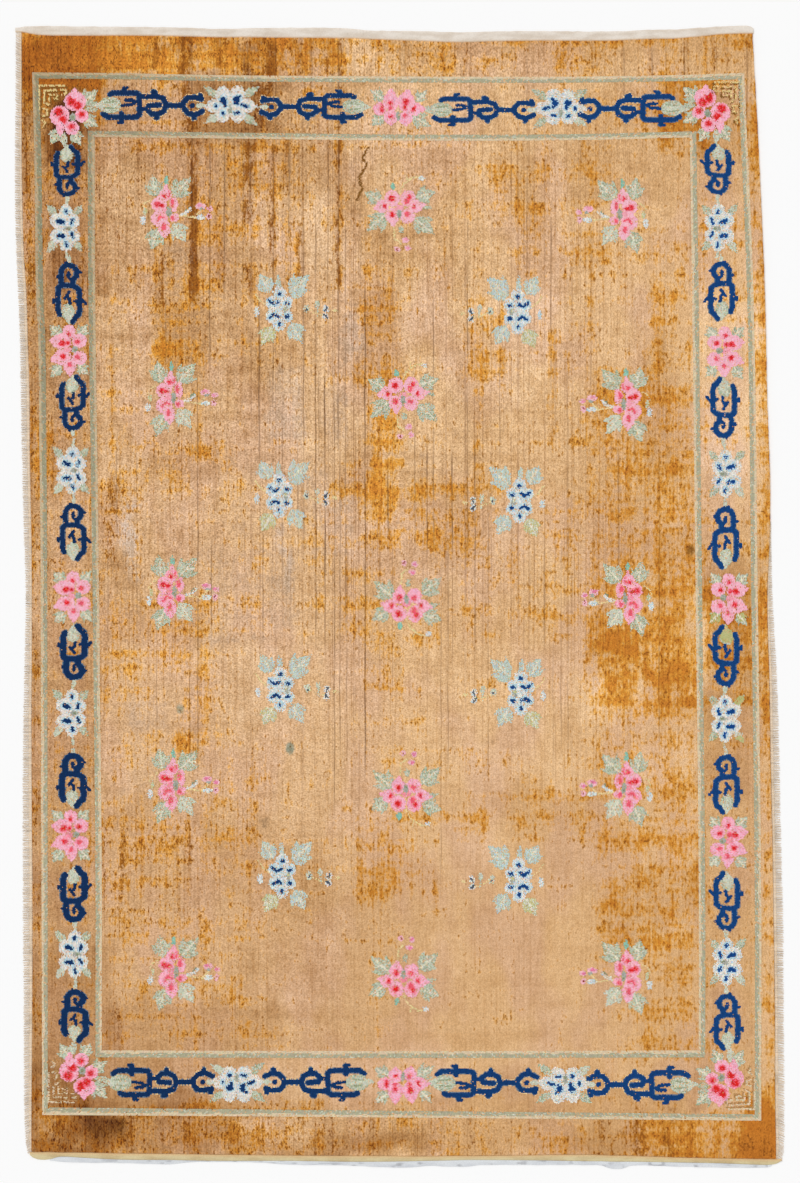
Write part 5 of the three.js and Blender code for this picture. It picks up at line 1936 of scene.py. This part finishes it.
def build_pattern(material):
    """Every motif and both guard stripes. Each row has a name, shapes, places, wear and ragged edge."""
    pink_side = placed(PINK_SIDE_ROWS, wear_share=1.3) + placed(PINK_RIGHT_ROWS, True, wear_share=0.6)
    pink_middle = placed(PINK_MIDDLE_ROWS[:2], wear_share=0.9)
    pink_middle += placed(PINK_MIDDLE_ROWS[2:], flip_y=True, wear_share=0.9)
    pale = placed(PALE_LEFT_ROWS, wear_share=1.2) + placed(PALE_RIGHT_ROWS, True, wear_share=0.8)
    end_frets = [(x, y, turned, False, share, 1.0) for x, y, turned, share in TOP_FRETS]
    end_frets += [(x, y, turned, True, share, 1.0) for x, y, turned, share in BOTTOM_FRETS]
    narrow, broad = side_fret_places()
    white_side = placed(WHITE_LEFT_ROWS) + placed(WHITE_RIGHT_ROWS, True)
    pink_end = placed([(398, 108)]) + placed([(402.6, 1084.4)], flip_y=True)
    pink_border = placed(PINK_BORDER_LEFT) + placed(PINK_BORDER_RIGHT, True)
    fretwork = in_quarters(CORNER_ROWS, FRETWORK_WEAR)
    motifs = [
        ("pink_field_sprays", pink_side_spray(), pink_side, 0.09, 0.55),
        ("pink_middle_sprays", pink_middle_spray(), pink_middle, 0.09, 0.55),
        ("pale_field_sprays", pale_spray(), pale, 0.07, 0.8),
        ("end_frets", end_fret(), end_frets, 0.006, 0.3),
        ("side_frets", side_fret(SIDE_FRET_WIDTH), narrow, 0.006, 0.3),
        ("broad_side_frets", side_fret(BROAD_FRET_WIDTH), broad, 0.006, 0.3),
        ("white_end_flowers", white_end_flower(), in_quarters(WHITE_END_ROWS), 0.03, 0.8),
        ("white_side_flowers", white_side_flower(), white_side, 0.03, 0.8),
        ("pink_end_flowers", pink_end_flower(), pink_end, 0.05, 0.55),
        ("pink_side_flowers", pink_side_flower(), pink_border, 0.05, 0.55),
        ("upper_corner_fretwork", corner_fretwork("curl_gold", "bark"), fretwork[:2], 0.12, 0.5),
        ("lower_corner_fretwork", corner_fretwork("guard_cream", "faded_tan"), fretwork[2:], 0.10, 0.5),
        ("corner_clusters", corner_cluster(), in_quarters(CORNER_ROWS), 0.05, 0.55),
        ("brown_squiggle", [SQUIGGLE], placed([(362.5, 174)]), 0.05, 0.6),
    ]
    pieces = [knotted_motifs(*row, material) for row in motifs]
    pieces.append(guard_frame("outer_guard_stripe", OUTER_GUARD, True, material))
    pieces.append(guard_frame("inner_guard_stripe", INNER_GUARD, False, material))
    return [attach(piece, "root") for piece in pieces]


def build_rug():
    ground = in_rug(knotted_ground(), "silk_pile", "silk_pile")
    patterned = build_pattern(pattern_material())
    bands = [
        in_rug(upper_band(), "woven_band", "upper_band"),
        in_rug(lower_band(), "woven_band", "lower_band"),
        in_rug(lower_tape(), "edge_tape", "lower_tape"),
    ]
    threads = fringe_material()
    left_start, left_end = LEFT_SIDE[0][0] + 0.3, LEFT_SIDE[-1][0] - 0.3
    right_start = RIGHT_SIDE[0][0] + 0.3
    fringes = [
        in_rug(side_fringe("left_fringe_threads", left_pile, left_tips,
                           left_start, left_end, 19, threads), "fringe", "left_fringe"),
        in_rug(side_fringe("right_fringe_threads", right_pile, right_tips,
                           right_start, RIGHT_FRINGE_TOP, 20, threads), "fringe", "right_fringe"),
    ]


# Floor, light and camera


def floor_material():
    material, tree = new_material("plain_white_floor")
    shader = tree.nodes.new("ShaderNodeBsdfPrincipled")
    output = tree.nodes.new("ShaderNodeOutputMaterial")
    shader.inputs["Base Color"].default_value = (0.98, 0.98, 0.98, 1)
    shader.inputs["Roughness"].default_value = 0.9
    shader.inputs["Specular IOR Level"].default_value = 0.1
    tree.links.new(shader.outputs[0], output.inputs[0])
    return material


def add_floor():
    bpy.ops.object.select_all(action="DESELECT")
    bpy.ops.mesh.primitive_plane_add(size=14, location=(0, 0, -0.0003))
    floor = named("floor")
    floor.data.materials.append(floor_material())


def add_light():
    world = bpy.data.worlds.new("soft_room")
    world.use_nodes = True
    background = world.node_tree.nodes["Background"]
    background.inputs["Color"].default_value = (1, 1, 1, 1)
    background.inputs["Strength"].default_value = 0.74
    bpy.context.scene.world = world
    bpy.ops.object.select_all(action="DESELECT")
    bpy.ops.object.light_add(type="SUN", location=(-2.6, 2.2, 4.2))
    lamp = bpy.context.active_object
    lamp.name = "studio_light"
    lamp.data.angle = math.radians(35)
    lamp.data.energy = 1.0
    lamp.rotation_euler = (math.radians(-27), math.radians(-31), 0)


def add_camera():
    bpy.ops.object.camera_add(location=(0.0009, 0.01324, 6.788), rotation=(0, 0, 0))
    camera = bpy.context.active_object
    camera.name = "photo_camera"
    camera.data.lens = 85
    camera.data.sensor_width = 36
    camera.data.clip_end = 50
    bpy.context.scene.camera = camera
    bpy.context.scene.view_settings.view_transform = "Standard"


add_floor()
build_rug()
add_light()
add_camera()
